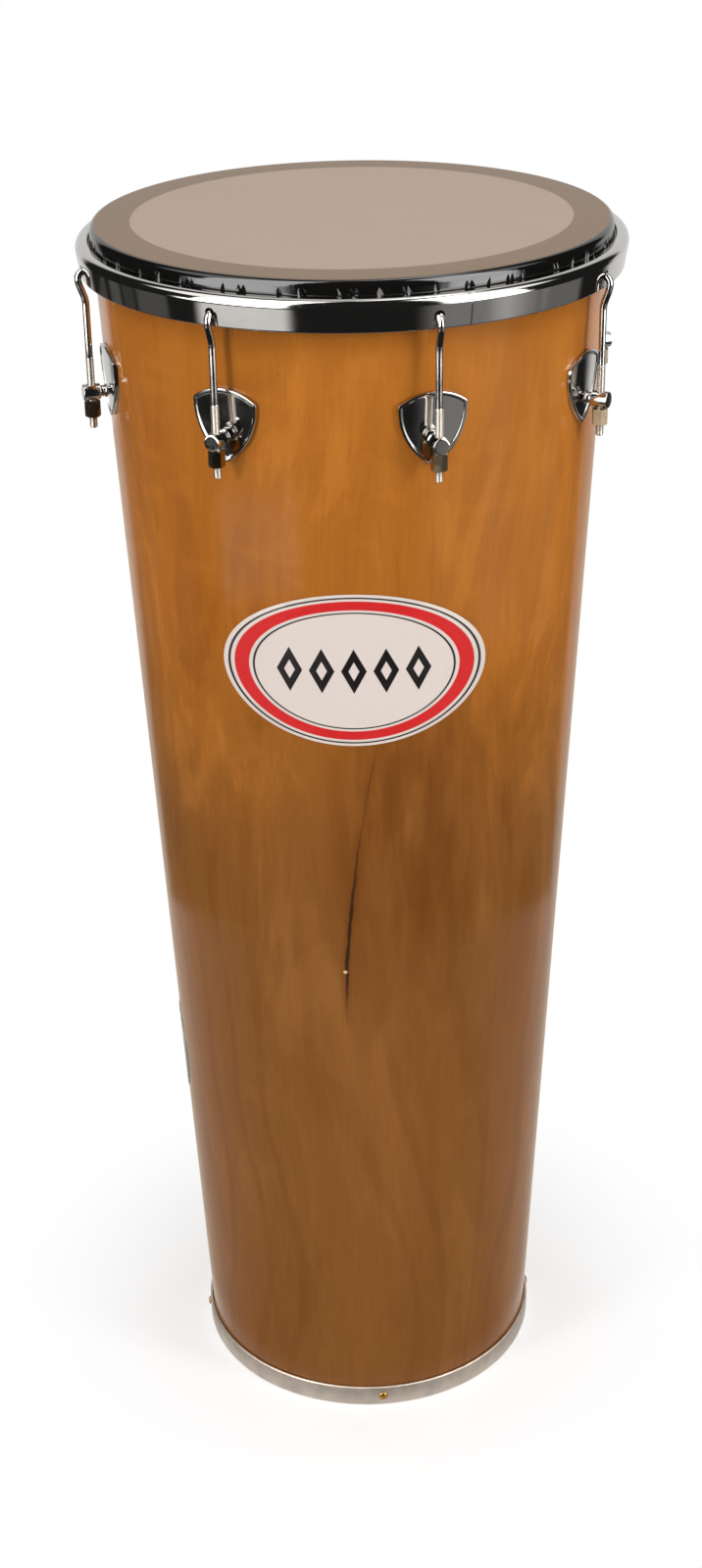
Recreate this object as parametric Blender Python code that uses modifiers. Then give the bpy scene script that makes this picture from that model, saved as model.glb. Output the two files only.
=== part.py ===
"""Timbal: a tall conical hand drum with a 14 inch head, tuned by eight hooks.

The drum stands on the floor. Its origin is the centre of its foot, Z is up, and the front of the drum, with
the badge, faces -Y. All lengths are in metres.
"""
import math

import bmesh
import bpy
from mathutils import Matrix

# Whole drum
DRUM_HEIGHT = 0.918
SHELL_BOTTOM_RADIUS = 0.1297
SHELL_TOP_RADIUS = 0.1764
TURN_STEPS = 72
SMALL_STEPS = 12
GAP = 0.0003
WELD = 0.000001
SHARP_ANGLE = math.radians(35.0)

# Wooden shell and its inner rings
SHELL_WALL = 0.0080
EDGE_ROUND = 0.0040
STIFFENER_WALL = 0.0060
STIFFENER_HEIGHT = 0.0300

# Foot ring and its wood screws
FOOT_WALL = 0.0022
FOOT_HEIGHT = 0.0175
FOOT_WIDTH = 0.0106
SCREW_COUNT = 4
SCREW_HEIGHT = 0.0092
SCREW_TURN = math.radians(-79.6)
SCREW_HEAD_DIAMETER = 0.0070
SCREW_HEAD_RISE = 0.0016
SCREW_SHANK_DIAMETER = 0.0034
SCREW_BITE = 0.0060
SCREW_POINT = 0.0015
SCREW_SLOT = 0.0009

# Drumhead: film and the flesh hoop that grips it
FILM = 0.0005
SKIRT_DEPTH = 0.0150
FLESH_HEIGHT = 0.0061
FLESH_WIDTH = 0.0058
FLESH_CHAMFER = 0.0016

# Counter hoop
HOOP_DROP = 0.0098
HOOP_HEIGHT = 0.0213
HOOP_WALL = 0.0024
HOOP_DEPTH = 0.0088
HOOP_ROUND = 0.0050
HOOP_TAPER = 0.0022
LIP_CLEARANCE = 0.0012
HOOK_HOLE_DIAMETER = 0.0088
HOLE_REACH = 0.0160

# Tuning hooks
LUG_COUNT = 8
WIRE_DIAMETER = 0.0048
THREAD_DIAMETER = 0.0054
THREAD_LENGTH = 0.0490
HOOK_SEAT = 0.0037
HOOK_TAIL = 0.0022
BEND_CLEARANCE = 0.0013
HOLE_CLEARANCE = 0.0006
JOG_LENGTH = 0.0170
ROD_INSET = 0.0020
ROD_TAIL = 0.0078
BORE_CLEARANCE = 0.00035

# Posts, tuning nuts and the nuts inside the shell
POST_DROP = 0.1048
BARREL_DIAMETER = 0.0110
BARREL_REACH = 0.0060
BARREL_LENGTH = 0.0116
NECK_DIAMETER = 0.0074
COLLAR_DIAMETER = 0.0092
COLLAR_WIDTH = 0.0014
STUD_DIAMETER = 0.0060
STUD_END = 0.0020
STUD_BORE_REACH = 0.0600
ROD_BORE_REACH = 0.0800
NUT_FLATS = 0.0095
NUT_HEIGHT = 0.0113
NUT_BEVEL = 0.0006
INNER_NUT_FLATS = 0.0100
INNER_NUT_HEIGHT = 0.0050
WASHER_DIAMETER = 0.0150
WASHER_THICKNESS = 0.0014

# Shield-shaped lug plates
PLATE_HALF_WIDTH = 0.0229
PLATE_CORNER_RISE = 0.0233
PLATE_ARCH = 0.0081
PLATE_DEPTH = 0.0412
PLATE_SIDE_BULGE = 0.0070
PLATE_CORNER_REACH = 0.0030
PLATE_THICKNESS = 0.0026
PLATE_RECESS = 0.0008
PLATE_BORDER = 0.0022

# Badge on the front and oval seal on the side
BADGE_TURN = math.radians(4.8)
BADGE_DROP = 0.2657
BADGE_HALF_WIDTH = 0.0880
BADGE_HALF_HEIGHT = 0.0560
SEAL_TURN = math.radians(-79.0)
SEAL_HEIGHT = 0.2680
SEAL_HALF_WIDTH = 0.0240
SEAL_HALF_HEIGHT = 0.0370
FOIL = 0.0004

# Places that follow from the sizes above
FRONT = math.radians(-90.0)
LUG_STEP = 2.0 * math.pi / LUG_COUNT
LUG_ANGLES = [FRONT + (k - 0.5) * LUG_STEP for k in range(LUG_COUNT)]
SCREW_ANGLES = [SCREW_TURN + 2.0 * math.pi * k / SCREW_COUNT for k in range(SCREW_COUNT)]
POST_HEIGHT = DRUM_HEIGHT - POST_DROP
SHELL_BASE = FOOT_WALL + GAP
SHELL_TOP = DRUM_HEIGHT - FILM - GAP


def shell_radius(height):
    """Return the outer radius of the shell's cone at a height."""
    return SHELL_BOTTOM_RADIUS + (SHELL_TOP_RADIUS - SHELL_BOTTOM_RADIUS) * height / DRUM_HEIGHT


EDGE_CENTRE_HEIGHT = SHELL_TOP - EDGE_ROUND
EDGE_CENTRE_RADIUS = shell_radius(EDGE_CENTRE_HEIGHT) - EDGE_ROUND
FILM_RADIUS = EDGE_CENTRE_RADIUS + EDGE_ROUND + GAP + FILM
FILM_BASE = DRUM_HEIGHT - SKIRT_DEPTH
HOOP_TOP = DRUM_HEIGHT - HOOP_DROP
HOOP_BASE = HOOP_TOP - HOOP_HEIGHT
HOOP_LIP_RADIUS = FILM_RADIUS + LIP_CLEARANCE
HOOP_RADIUS = HOOP_LIP_RADIUS + HOOP_DEPTH
SHOULDER_RADIUS = HOOP_RADIUS - HOOP_ROUND
SHOULDER_HEIGHT = HOOP_TOP - HOOP_ROUND
ROD_RADIUS = HOOP_RADIUS - ROD_INSET
BORE_DIAMETER = THREAD_DIAMETER + 2.0 * BORE_CLEARANCE
ROD_BASE = POST_HEIGHT - BARREL_DIAMETER / 2.0 - GAP - NUT_HEIGHT - ROD_TAIL


def band_radius(height):
    """Return the outer radius of the counter hoop's tapered band at a height."""
    share = (SHOULDER_HEIGHT - height) / (SHOULDER_HEIGHT - HOOP_BASE)
    return HOOP_RADIUS - HOOP_TAPER * share


BEND_INSIDE = HOOP_WALL / 2.0 + BEND_CLEARANCE
HOOK_BEND = BEND_INSIDE + WIRE_DIAMETER / 2.0
BEND_HEIGHT = HOOP_BASE + HOOK_SEAT
HOLE_FLOOR = BEND_HEIGHT + math.sqrt(BEND_INSIDE ** 2 - (HOOP_WALL / 2.0) ** 2) - HOLE_CLEARANCE
BEND_RADIUS = band_radius(HOLE_FLOOR) - HOOP_WALL / 2.0
HOLE_HEIGHT = HOLE_FLOOR + HOOK_HOLE_DIAMETER / 2.0

PARTS = None
CUTTERS = None


def clear_scene():
    """Remove every object that the scene holds."""
    for obj in list(bpy.data.objects):
        bpy.data.objects.remove(obj, do_unlink=True)


def new_collection(name):
    """Return a new collection, linked to the scene."""
    collection = bpy.data.collections.new(name)
    bpy.context.scene.collection.children.link(collection)
    return collection


def make_material(name, colour, roughness, metallic=0.0, coat=0.0):
    """Return a Principled material of one colour."""
    material = bpy.data.materials.new(name)
    material.use_nodes = True
    shader = material.node_tree.nodes["Principled BSDF"]
    shader.inputs["Base Color"].default_value = (*colour, 1.0)
    shader.inputs["Roughness"].default_value = roughness
    shader.inputs["Metallic"].default_value = metallic
    shader.inputs["Coat Weight"].default_value = coat
    material.diffuse_color = (*colour, 1.0)
    return material


def add_part(name, data, material):
    """Return a new object of the drum, with its own material."""
    obj = bpy.data.objects.new(name, data)
    data.materials.clear()
    data.materials.append(material)
    PARTS.objects.link(obj)
    return obj


def add_cutter(name, data):
    """Return a new object that only cuts others, and is itself left out."""
    obj = bpy.data.objects.new(name, data)
    obj.hide_render = True
    obj.display_type = "WIRE"
    CUTTERS.objects.link(obj)
    return obj


def add_boolean(obj, operand, operation):
    """Cut obj by another object, join the two, or keep what they share."""
    modifier = obj.modifiers.new(operation.title(), "BOOLEAN")
    modifier.operation = operation
    modifier.solver = "EXACT"
    modifier.object = operand


def baked_mesh(guide):
    """Return a guide object's finished mesh, with doubled points welded, and remove the guide."""
    evaluated = guide.evaluated_get(bpy.context.evaluated_depsgraph_get())
    mesh = bpy.data.meshes.new_from_object(evaluated)
    bpy.data.objects.remove(guide, do_unlink=True)
    bm = bmesh.new()
    bm.from_mesh(mesh)
    bmesh.ops.remove_doubles(bm, verts=bm.verts, dist=WELD)
    bm.to_mesh(mesh)
    bm.free()
    return mesh


def turned_mesh(name, profile, steps):
    """Return the mesh of a profile of (radius, height) points, turned about Z.

    The profile runs down the outer side, and is closed unless both its ends are on the axis.
    """
    line = bpy.data.meshes.new(name)
    count = len(profile)
    on_axis = profile[0][0] == 0.0 and profile[-1][0] == 0.0
    edges = [(i, (i + 1) % count) for i in range(count - 1 if on_axis else count)]
    line.from_pydata([(radius, 0.0, height) for radius, height in profile], edges, [])
    guide = add_cutter(name, line)
    screw = guide.modifiers.new("Turn", "SCREW")
    screw.axis = "Z"
    screw.angle = 2.0 * math.pi
    screw.steps = steps
    screw.render_steps = steps
    screw.use_merge_vertices = True
    screw.merge_threshold = WELD
    mesh = baked_mesh(guide)
    mesh.shade_smooth()
    mesh.set_sharp_from_angle(angle=SHARP_ANGLE)
    return mesh


def turned_part(name, profile, material, steps=TURN_STEPS):
    """Return a turned piece of the drum."""
    return add_part(name, turned_mesh(name, profile, steps), material)


def arc(centre, radius, start, end, count):
    """Return count + 1 points on an arc from one angle to another, in degrees."""
    angles = [math.radians(start + (end - start) * i / count) for i in range(count + 1)]
    return [(centre[0] + radius * math.cos(a), centre[1] + radius * math.sin(a)) for a in angles]


def bulged_line(start, end, bulge, count, trim):
    """Return points on an arc from start to end, short of both by trim, that bulges to the right of its chord."""
    chord = math.dist(start, end)
    radius = (chord * chord / 4.0 + bulge * bulge) / (2.0 * bulge)
    along = ((end[0] - start[0]) / chord, (end[1] - start[1]) / chord)
    right = (along[1], -along[0])
    points = []
    for i in range(count + 1):
        run = trim + (chord - 2.0 * trim) * i / count
        rise = math.sqrt(radius ** 2 - (run - chord / 2.0) ** 2) - (radius - bulge)
        x = start[0] + along[0] * run + right[0] * rise
        y = start[1] + along[1] * run + right[1] * rise
        points.append((x, y))
    return points


def corner_point(before, corner, after):
    """Return the middle of a rounded corner between the ends of the two lines that meet there."""
    return tuple((a + 2.0 * c + b) / 4.0 for a, c, b in zip(before, corner, after))


def upright(angle, radius, height):
    """Return the place at an angle round the drum where local X points outward and local Z points up."""
    return Matrix.Rotation(angle, 4, "Z") @ Matrix.Translation((radius, 0.0, height))


def on_wall(angle, radius, height):
    """Return the place at an angle round the drum where local Z points outward and local Y points up."""
    quarter = math.pi / 2.0
    turn = Matrix.Rotation(quarter, 4, "Z") @ Matrix.Rotation(quarter, 4, "X")
    return upright(angle, radius, height) @ turn


def cylinder_mesh(name, radius, depth, segments):
    """Return a closed cylinder about local Z, centred on its origin."""
    mesh = bpy.data.meshes.new(name)
    bm = bmesh.new()
    bmesh.ops.create_cone(bm, cap_ends=True, segments=segments, radius1=radius, radius2=radius, depth=depth)
    bm.to_mesh(mesh)
    bm.free()
    if segments > 6:
        mesh.shade_smooth()
        mesh.set_sharp_from_angle(angle=SHARP_ANGLE)
    return mesh


def box_mesh(name, size):
    """Return a closed box centred on its origin."""
    mesh = bpy.data.meshes.new(name)
    bm = bmesh.new()
    bmesh.ops.create_cube(bm, size=1.0)
    bmesh.ops.scale(bm, vec=size, verts=bm.verts)
    bm.to_mesh(mesh)
    bm.free()
    return mesh


def outline_mesh(name, points, back, front):
    """Return a closed plate of a flat outline in local XY, from one depth along Z to another."""
    curve = bpy.data.curves.new(name, "CURVE")
    curve.dimensions = "2D"
    curve.fill_mode = "BOTH"
    curve.extrude = (front - back) / 2.0
    spline = curve.splines.new("POLY")
    spline.points.add(len(points) - 1)
    for point, (x, y) in zip(spline.points, points):
        point.co = (x, y, 0.0, 1.0)
    spline.use_cyclic_u = True
    mesh = baked_mesh(add_cutter(name, curve))
    mesh.transform(Matrix.Translation((0.0, 0.0, (front + back) / 2.0)))
    return mesh


def ellipse(half_width, half_height, count):
    """Return the points of an ellipse, anticlockwise."""
    turns = [2.0 * math.pi * i / count for i in range(count)]
    return [(half_width * math.cos(a), half_height * math.sin(a)) for a in turns]


def copies_cutter(name, mesh, places):
    """Return one cutter that holds a copy of a mesh at each place."""
    whole = bmesh.new()
    for place in places:
        copy = mesh.copy()
        copy.transform(place)
        whole.from_mesh(copy)
    joined = bpy.data.meshes.new(name)
    whole.to_mesh(joined)
    whole.free()
    return add_cutter(name, joined)


def cone_layer(name, inner, outer, low, high):
    """Return a cutter that fills the layer between two distances off the shell's outer face."""
    profile = [
        (shell_radius(high) + outer, high),
        (shell_radius(low) + outer, low),
        (shell_radius(low) + inner, low),
        (shell_radius(high) + inner, high),
    ]
    return add_cutter(name, turned_mesh(name, profile, TURN_STEPS))


def shield_outline(margin):
    """Return a lug plate's outline about its post, drawn in by a margin all round."""
    half = PLATE_HALF_WIDTH - margin
    corner = PLATE_CORNER_RISE - margin * 0.6
    tip = PLATE_CORNER_RISE - PLATE_DEPTH + margin
    left = (-half, corner)
    right = (half, corner)
    bottom = (0.0, tip)
    falling = bulged_line(left, bottom, PLATE_SIDE_BULGE, 6, PLATE_CORNER_REACH)
    rising = bulged_line(bottom, right, PLATE_SIDE_BULGE, 6, PLATE_CORNER_REACH)
    arch = bulged_line(right, left, PLATE_ARCH, 7, PLATE_CORNER_REACH)
    outline = falling + [corner_point(falling[-1], bottom, rising[0])]
    outline += rising + [corner_point(rising[-1], right, arch[0])]
    return outline + arch + [corner_point(arch[-1], left, falling[0])]


# The wooden shell, the two rings glued inside it, and the foot

def make_shell(wood, stud_bores, screw_bores):
    """Make the conical shell, with its rounded bearing edge, stud bores and screw bores."""
    edge = arc((EDGE_CENTRE_RADIUS, EDGE_CENTRE_HEIGHT), EDGE_ROUND, 90.0, 0.0, 3)
    inner_top = SHELL_TOP - (SHELL_WALL - EDGE_ROUND)
    profile = edge + [
        (shell_radius(SHELL_BASE), SHELL_BASE),
        (shell_radius(SHELL_BASE) - SHELL_WALL, SHELL_BASE),
        (shell_radius(inner_top) - SHELL_WALL, inner_top),
    ]
    shell = turned_part("shell", profile, wood)
    add_boolean(shell, stud_bores, "DIFFERENCE")
    add_boolean(shell, screw_bores, "DIFFERENCE")


def make_stiffener(name, low, wood):
    """Make one of the rings glued inside the shell, from a height up."""
    high = low + STIFFENER_HEIGHT
    outer = -SHELL_WALL - GAP
    profile = [
        (shell_radius(high) + outer, high),
        (shell_radius(low) + outer, low),
        (shell_radius(low) + outer - STIFFENER_WALL, low),
        (shell_radius(high) + outer - STIFFENER_WALL, high),
    ]
    turned_part(name, profile, wood)


def make_foot(steel, screw_bores):
    """Make the metal ring that wraps the shell's lower edge and carries it on an inward flange."""
    outer = shell_radius(FOOT_HEIGHT) + GAP + FOOT_WALL
    wall_low = shell_radius(SHELL_BASE) + GAP
    wall_high = shell_radius(FOOT_HEIGHT) + GAP
    profile = [
        (outer, FOOT_HEIGHT),
        (outer, 0.0),
        (outer - FOOT_WIDTH, 0.0),
        (outer - FOOT_WIDTH, FOOT_WALL),
        (wall_low, FOOT_WALL),
        (wall_high, FOOT_HEIGHT),
    ]
    foot = turned_part("foot_ring", profile, steel)
    add_boolean(foot, screw_bores, "DIFFERENCE")


def make_screws(brass):
    """Make the slotted screws that hold the foot ring to the shell."""
    face = shell_radius(FOOT_HEIGHT) + GAP + FOOT_WALL + GAP
    head = SCREW_HEAD_DIAMETER / 2.0
    shank = SCREW_SHANK_DIAMETER / 2.0
    length = FOOT_WALL + 2.0 * GAP + SCREW_BITE
    profile = [
        (0.0, SCREW_HEAD_RISE),
        (head * 0.55, SCREW_HEAD_RISE * 0.82),
        (head, SCREW_HEAD_RISE * 0.25),
        (head, 0.0),
        (shank, 0.0),
        (shank, SCREW_POINT - length),
        (0.0, -length),
    ]
    slot = box_mesh("slot", (SCREW_HEAD_DIAMETER * 2.0, SCREW_SLOT, SCREW_HEAD_RISE))
    slot_places = [on_wall(angle, face + SCREW_HEAD_RISE, SCREW_HEIGHT) for angle in SCREW_ANGLES]
    slots = copies_cutter("slots", slot, slot_places)
    for number, angle in enumerate(SCREW_ANGLES, 1):
        screw = turned_part(f"foot_screw_{number}", profile, brass, SMALL_STEPS)
        screw.matrix_world = on_wall(angle, face, SCREW_HEIGHT)
        add_boolean(screw, slots, "DIFFERENCE")


# The drumhead and the counter hoop

def make_film(plastic):
    """Make the film, which turns over the bearing edge and ends inside the flesh hoop."""
    round_in = EDGE_ROUND + GAP
    round_out = round_in + FILM
    centre = (EDGE_CENTRE_RADIUS, EDGE_CENTRE_HEIGHT)
    outside = arc(centre, round_out, 90.0, 0.0, 3)
    inside = arc(centre, round_in, 0.0, 90.0, 3)
    profile = [(0.0, DRUM_HEIGHT)] + outside
    profile += [(FILM_RADIUS, FILM_BASE), (FILM_RADIUS - FILM, FILM_BASE)]
    profile += inside + [(0.0, DRUM_HEIGHT - FILM)]
    turned_part("head_film", profile, plastic)


def make_flesh_hoop(alloy, parent):
    """Make the ring at the film's edge, which the counter hoop's flange presses down."""
    inner = FILM_RADIUS + GAP + 0.0001
    outer = inner + FLESH_WIDTH
    top = HOOP_TOP - HOOP_WALL - GAP
    profile = [
        (outer - FLESH_CHAMFER, top),
        (outer, top - FLESH_CHAMFER),
        (outer, top - FLESH_HEIGHT),
        (inner, top - FLESH_HEIGHT),
        (inner, top),
    ]
    turned_part("flesh_hoop", profile, alloy).parent = parent


def make_counter_hoop(chrome, parent):
    """Make the chromed hoop: a tapered band whose top turns inward over the flesh hoop."""
    shoulder = (SHOULDER_RADIUS, SHOULDER_HEIGHT)
    profile = arc(shoulder, HOOP_ROUND, 90.0, 0.0, 3)
    profile += [(band_radius(HOOP_BASE), HOOP_BASE), (band_radius(HOOP_BASE) - HOOP_WALL, HOOP_BASE)]
    profile += arc(shoulder, HOOP_ROUND - HOOP_WALL, 0.0, 90.0, 2)
    profile += [(HOOP_LIP_RADIUS, HOOP_TOP - HOOP_WALL), (HOOP_LIP_RADIUS, HOOP_TOP)]
    hoop = turned_part("counter_hoop", profile, chrome)
    hoop.parent = parent
    flat_reach = HOOK_HOLE_DIAMETER / 2.0 / math.cos(math.pi / SMALL_STEPS)
    hole = cylinder_mesh("hook_hole", flat_reach, HOLE_REACH, SMALL_STEPS)
    holes = copies_cutter("hook_holes", hole, [on_wall(a, HOOP_RADIUS, HOLE_HEIGHT) for a in LUG_ANGLES])
    add_boolean(hoop, holes, "DIFFERENCE")


# The eight tuning sets: hook, nut, post, plate and inner nut

def hook_points():
    """Return a hook's centre line from its threaded end up, each point as (outward, up, thickness)."""
    thread = THREAD_DIAMETER / WIRE_DIAMETER
    low = ROD_BASE - POST_HEIGHT
    thread_end = low + THREAD_LENGTH
    bend_out = BEND_RADIUS - ROD_RADIUS
    bend_up = BEND_HEIGHT - POST_HEIGHT
    points = [(0.0, low, thread * 0.82), (0.0, low + 0.0006, thread), (0.0, thread_end, thread)]
    points.append((0.0, thread_end + 0.0008, 1.0))
    jog = bend_out + HOOK_BEND
    for i in range(7):
        share = i / 6.0
        ease = share * share * (3.0 - 2.0 * share)
        points.append((jog * ease, bend_up - JOG_LENGTH * (1.0 - share), 1.0))
    for outward, up in arc((bend_out, bend_up), HOOK_BEND, 0.0, 180.0, 8)[1:]:
        points.append((outward, up, 1.0))
    points.append((bend_out - HOOK_BEND, bend_up - HOOK_TAIL, 1.0))
    return points


def make_hooks(chrome, parent):
    """Make the hooks, each a bent wire with a threaded lower end."""
    for number, angle in enumerate(LUG_ANGLES, 1):
        curve = bpy.data.curves.new(f"hook_{number}", "CURVE")
        curve.dimensions = "3D"
        curve.bevel_depth = WIRE_DIAMETER / 2.0
        curve.bevel_resolution = 2
        curve.use_fill_caps = True
        points = hook_points()
        spline = curve.splines.new("POLY")
        spline.points.add(len(points) - 1)
        for point, (outward, up, thickness) in zip(spline.points, points):
            point.co = (outward, 0.0, up, 1.0)
            point.radius = thickness
        hook = add_part(f"hook_{number}", curve, chrome)
        hook.matrix_world = upright(angle, ROD_RADIUS, POST_HEIGHT)
        hook.parent = parent


def make_tuning_nuts(chrome, rod_bores):
    """Make the long hexagon nuts that pull the hooks down against the posts."""
    middle = POST_HEIGHT - BARREL_DIAMETER / 2.0 - GAP - NUT_HEIGHT / 2.0
    for number, angle in enumerate(LUG_ANGLES, 1):
        nut_mesh = cylinder_mesh("nut", NUT_FLATS / math.sqrt(3.0), NUT_HEIGHT, 6)
        nut = add_part(f"tuning_nut_{number}", nut_mesh, chrome)
        nut.matrix_world = upright(angle, ROD_RADIUS, middle)
        bevel = nut.modifiers.new("Bevel", "BEVEL")
        bevel.width = NUT_BEVEL
        bevel.segments = 1
        bevel.limit_method = "ANGLE"
        bevel.angle_limit = math.radians(75.0)
        add_boolean(nut, rod_bores, "DIFFERENCE")


def make_posts(chrome, rod_bores):
    """Make the posts: a drilled barrel, a ringed neck, and a stud that runs through plate and shell."""
    plate_face = shell_radius(POST_HEIGHT) + GAP + PLATE_THICKNESS + GAP
    neck_base = plate_face + COLLAR_DIAMETER / 2.0 * (SHELL_TOP_RADIUS - SHELL_BOTTOM_RADIUS) / DRUM_HEIGHT
    barrel = BARREL_DIAMETER / 2.0
    neck = NECK_DIAMETER / 2.0
    collar = COLLAR_DIAMETER / 2.0
    stud = STUD_DIAMETER / 2.0
    barrel_end = BARREL_REACH
    barrel_start = BARREL_REACH - BARREL_LENGTH
    base = neck_base - ROD_RADIUS
    stud_end = inner_nut_radius() - STUD_END - ROD_RADIUS
    profile = [
        (0.0, barrel_end),
        (barrel - 0.0005, barrel_end),
        (barrel, barrel_end - 0.0005),
        (barrel, barrel_start),
        (neck, barrel_start - 0.0006),
        (neck, base + 2.0 * COLLAR_WIDTH),
        (collar, base + 1.7 * COLLAR_WIDTH),
        (collar, base),
        (stud, base),
        (stud, stud_end),
        (0.0, stud_end),
    ]
    for number, angle in enumerate(LUG_ANGLES, 1):
        post = turned_part(f"post_{number}", profile, chrome, SMALL_STEPS)
        post.matrix_world = on_wall(angle, ROD_RADIUS, POST_HEIGHT)
        add_boolean(post, rod_bores, "DIFFERENCE")


def make_plates(chrome, stud_bores):
    """Make the shield-shaped plates, each bent round the shell, with a raised border."""
    low = POST_HEIGHT - PLATE_DEPTH
    high = POST_HEIGHT + PLATE_DEPTH
    reach = PLATE_HALF_WIDTH / 2.0
    body = cone_layer("plate_layer", GAP, GAP + PLATE_THICKNESS, low, high)
    seats = [on_wall(angle, shell_radius(POST_HEIGHT), POST_HEIGHT) for angle in LUG_ANGLES]
    field = outline_mesh("field", shield_outline(PLATE_BORDER), -reach, reach)
    recess = copies_cutter("plate_recess", field, seats)
    floor = GAP + PLATE_THICKNESS - PLATE_RECESS
    above = cone_layer("recess_layer", floor, floor + 4.0 * PLATE_THICKNESS, low, high)
    add_boolean(recess, above, "INTERSECT")
    for number, seat in enumerate(seats, 1):
        mesh = outline_mesh("plate", shield_outline(0.0), -reach, reach)
        plate = add_part(f"lug_plate_{number}", mesh, chrome)
        plate.matrix_world = seat
        add_boolean(plate, body, "INTERSECT")
        add_boolean(plate, recess, "DIFFERENCE")
        add_boolean(plate, stud_bores, "DIFFERENCE")


def inner_nut_radius():
    """Return how far from the drum's axis the inner nuts' free faces are."""
    slope = (SHELL_TOP_RADIUS - SHELL_BOTTOM_RADIUS) / DRUM_HEIGHT
    seat = shell_radius(POST_HEIGHT) - SHELL_WALL - GAP - slope * WASHER_DIAMETER / 2.0
    return seat - INNER_NUT_HEIGHT


def make_inner_nuts(steel, stud_bores):
    """Make the washer-faced nuts that draw each post's stud tight inside the shell."""
    face = inner_nut_radius()
    washer_mesh = cylinder_mesh("washer", WASHER_DIAMETER / 2.0, WASHER_THICKNESS, SMALL_STEPS)
    for number, angle in enumerate(LUG_ANGLES, 1):
        nut_mesh = cylinder_mesh("inner_nut", INNER_NUT_FLATS / math.sqrt(3.0), INNER_NUT_HEIGHT, 6)
        nut = add_part(f"inner_nut_{number}", nut_mesh, steel)
        nut.matrix_world = on_wall(angle, face + INNER_NUT_HEIGHT / 2.0, POST_HEIGHT)
        washer = add_cutter(f"washer_{number}", washer_mesh)
        washer.matrix_world = on_wall(angle, face + INNER_NUT_HEIGHT - WASHER_THICKNESS / 2.0, POST_HEIGHT)
        add_boolean(nut, washer, "UNION")
        add_boolean(nut, stud_bores, "DIFFERENCE")


# The badge and the seal

def make_foil(name, outline, turn, height, reach, foil):
    """Make a thin sheet stuck on the shell, bent round it."""
    rise = max(abs(y) for _, y in outline)
    layer = cone_layer(f"{name}_layer", GAP, GAP + FOIL, height - 1.2 * rise, height + 1.2 * rise)
    sheet = add_part(name, outline_mesh(name, outline, -reach, reach), foil)
    sheet.matrix_world = on_wall(FRONT + turn, shell_radius(height), height)
    add_boolean(sheet, layer, "INTERSECT")


def make_drum():
    """Make the whole drum."""
    wood = make_material("varnished_wood", (0.46, 0.17, 0.036), 0.25, coat=0.6)
    bare_wood = make_material("bare_wood", (0.50, 0.27, 0.11), 0.7)
    chrome = make_material("chrome", (0.78, 0.76, 0.74), 0.08, 1.0)
    alloy = make_material("aluminium", (0.66, 0.65, 0.63), 0.35, 1.0)
    steel = make_material("satin_steel", (0.48, 0.42, 0.36), 0.32, 1.0)
    brass = make_material("brass", (0.66, 0.44, 0.16), 0.3, 1.0)
    film = make_material("drum_film", (0.35, 0.27, 0.21), 0.45)
    white_foil = make_material("white_foil", (0.86, 0.84, 0.80), 0.4)
    grey_foil = make_material("grey_foil", (0.52, 0.54, 0.50), 0.35, 0.6)

    tuner = bpy.data.objects.new("tuning_travel", None)
    PARTS.objects.link(tuner)

    stud_radius = STUD_DIAMETER / 2.0 + BORE_CLEARANCE
    stud_bore = cylinder_mesh("stud_bore", stud_radius, STUD_BORE_REACH, SMALL_STEPS)
    stud_places = [on_wall(angle, shell_radius(POST_HEIGHT), POST_HEIGHT) for angle in LUG_ANGLES]
    stud_bores = copies_cutter("stud_bores", stud_bore, stud_places)
    rod_bore = cylinder_mesh("rod_bore", BORE_DIAMETER / 2.0, ROD_BORE_REACH, SMALL_STEPS)
    rod_places = [upright(angle, ROD_RADIUS, POST_HEIGHT) for angle in LUG_ANGLES]
    rod_bores = copies_cutter("rod_bores", rod_bore, rod_places)
    screw_bores = make_screw_bores()

    make_shell(wood, stud_bores, screw_bores)
    make_stiffener("lower_stiffener", SHELL_BASE, bare_wood)
    make_stiffener("upper_stiffener", SHELL_TOP - EDGE_ROUND - STIFFENER_HEIGHT - 2.0 * GAP, bare_wood)
    make_foot(steel, screw_bores)
    make_screws(brass)
    make_film(film)
    make_flesh_hoop(alloy, tuner)
    make_counter_hoop(chrome, tuner)
    make_hooks(chrome, tuner)
    make_tuning_nuts(chrome, rod_bores)
    make_posts(chrome, rod_bores)
    make_plates(chrome, stud_bores)
    make_inner_nuts(steel, stud_bores)
    badge = ellipse(BADGE_HALF_WIDTH, BADGE_HALF_HEIGHT, 36)
    make_foil("front_badge", badge, BADGE_TURN, DRUM_HEIGHT - BADGE_DROP, BADGE_HALF_WIDTH * 0.5, white_foil)
    seal = ellipse(SEAL_HALF_WIDTH, SEAL_HALF_HEIGHT, 24)
    make_foil("side_seal", seal, SEAL_TURN, SEAL_HEIGHT, SEAL_HALF_WIDTH * 0.5, grey_foil)


def make_screw_bores():
    """Return a cutter for the screw holes in the foot ring and the shell."""
    radius = SCREW_SHANK_DIAMETER / 2.0 + BORE_CLEARANCE
    outer = shell_radius(FOOT_HEIGHT) + GAP + FOOT_WALL
    depth = FOOT_WALL + 2.0 * GAP + SHELL_WALL
    bore = cylinder_mesh("screw_bore", radius, 2.0 * depth, SMALL_STEPS)
    return copies_cutter("screw_bores", bore, [on_wall(angle, outer, SCREW_HEIGHT) for angle in SCREW_ANGLES])


clear_scene()
PARTS = new_collection("timbal_drum")
CUTTERS = new_collection("cutters")
make_drum()
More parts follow.
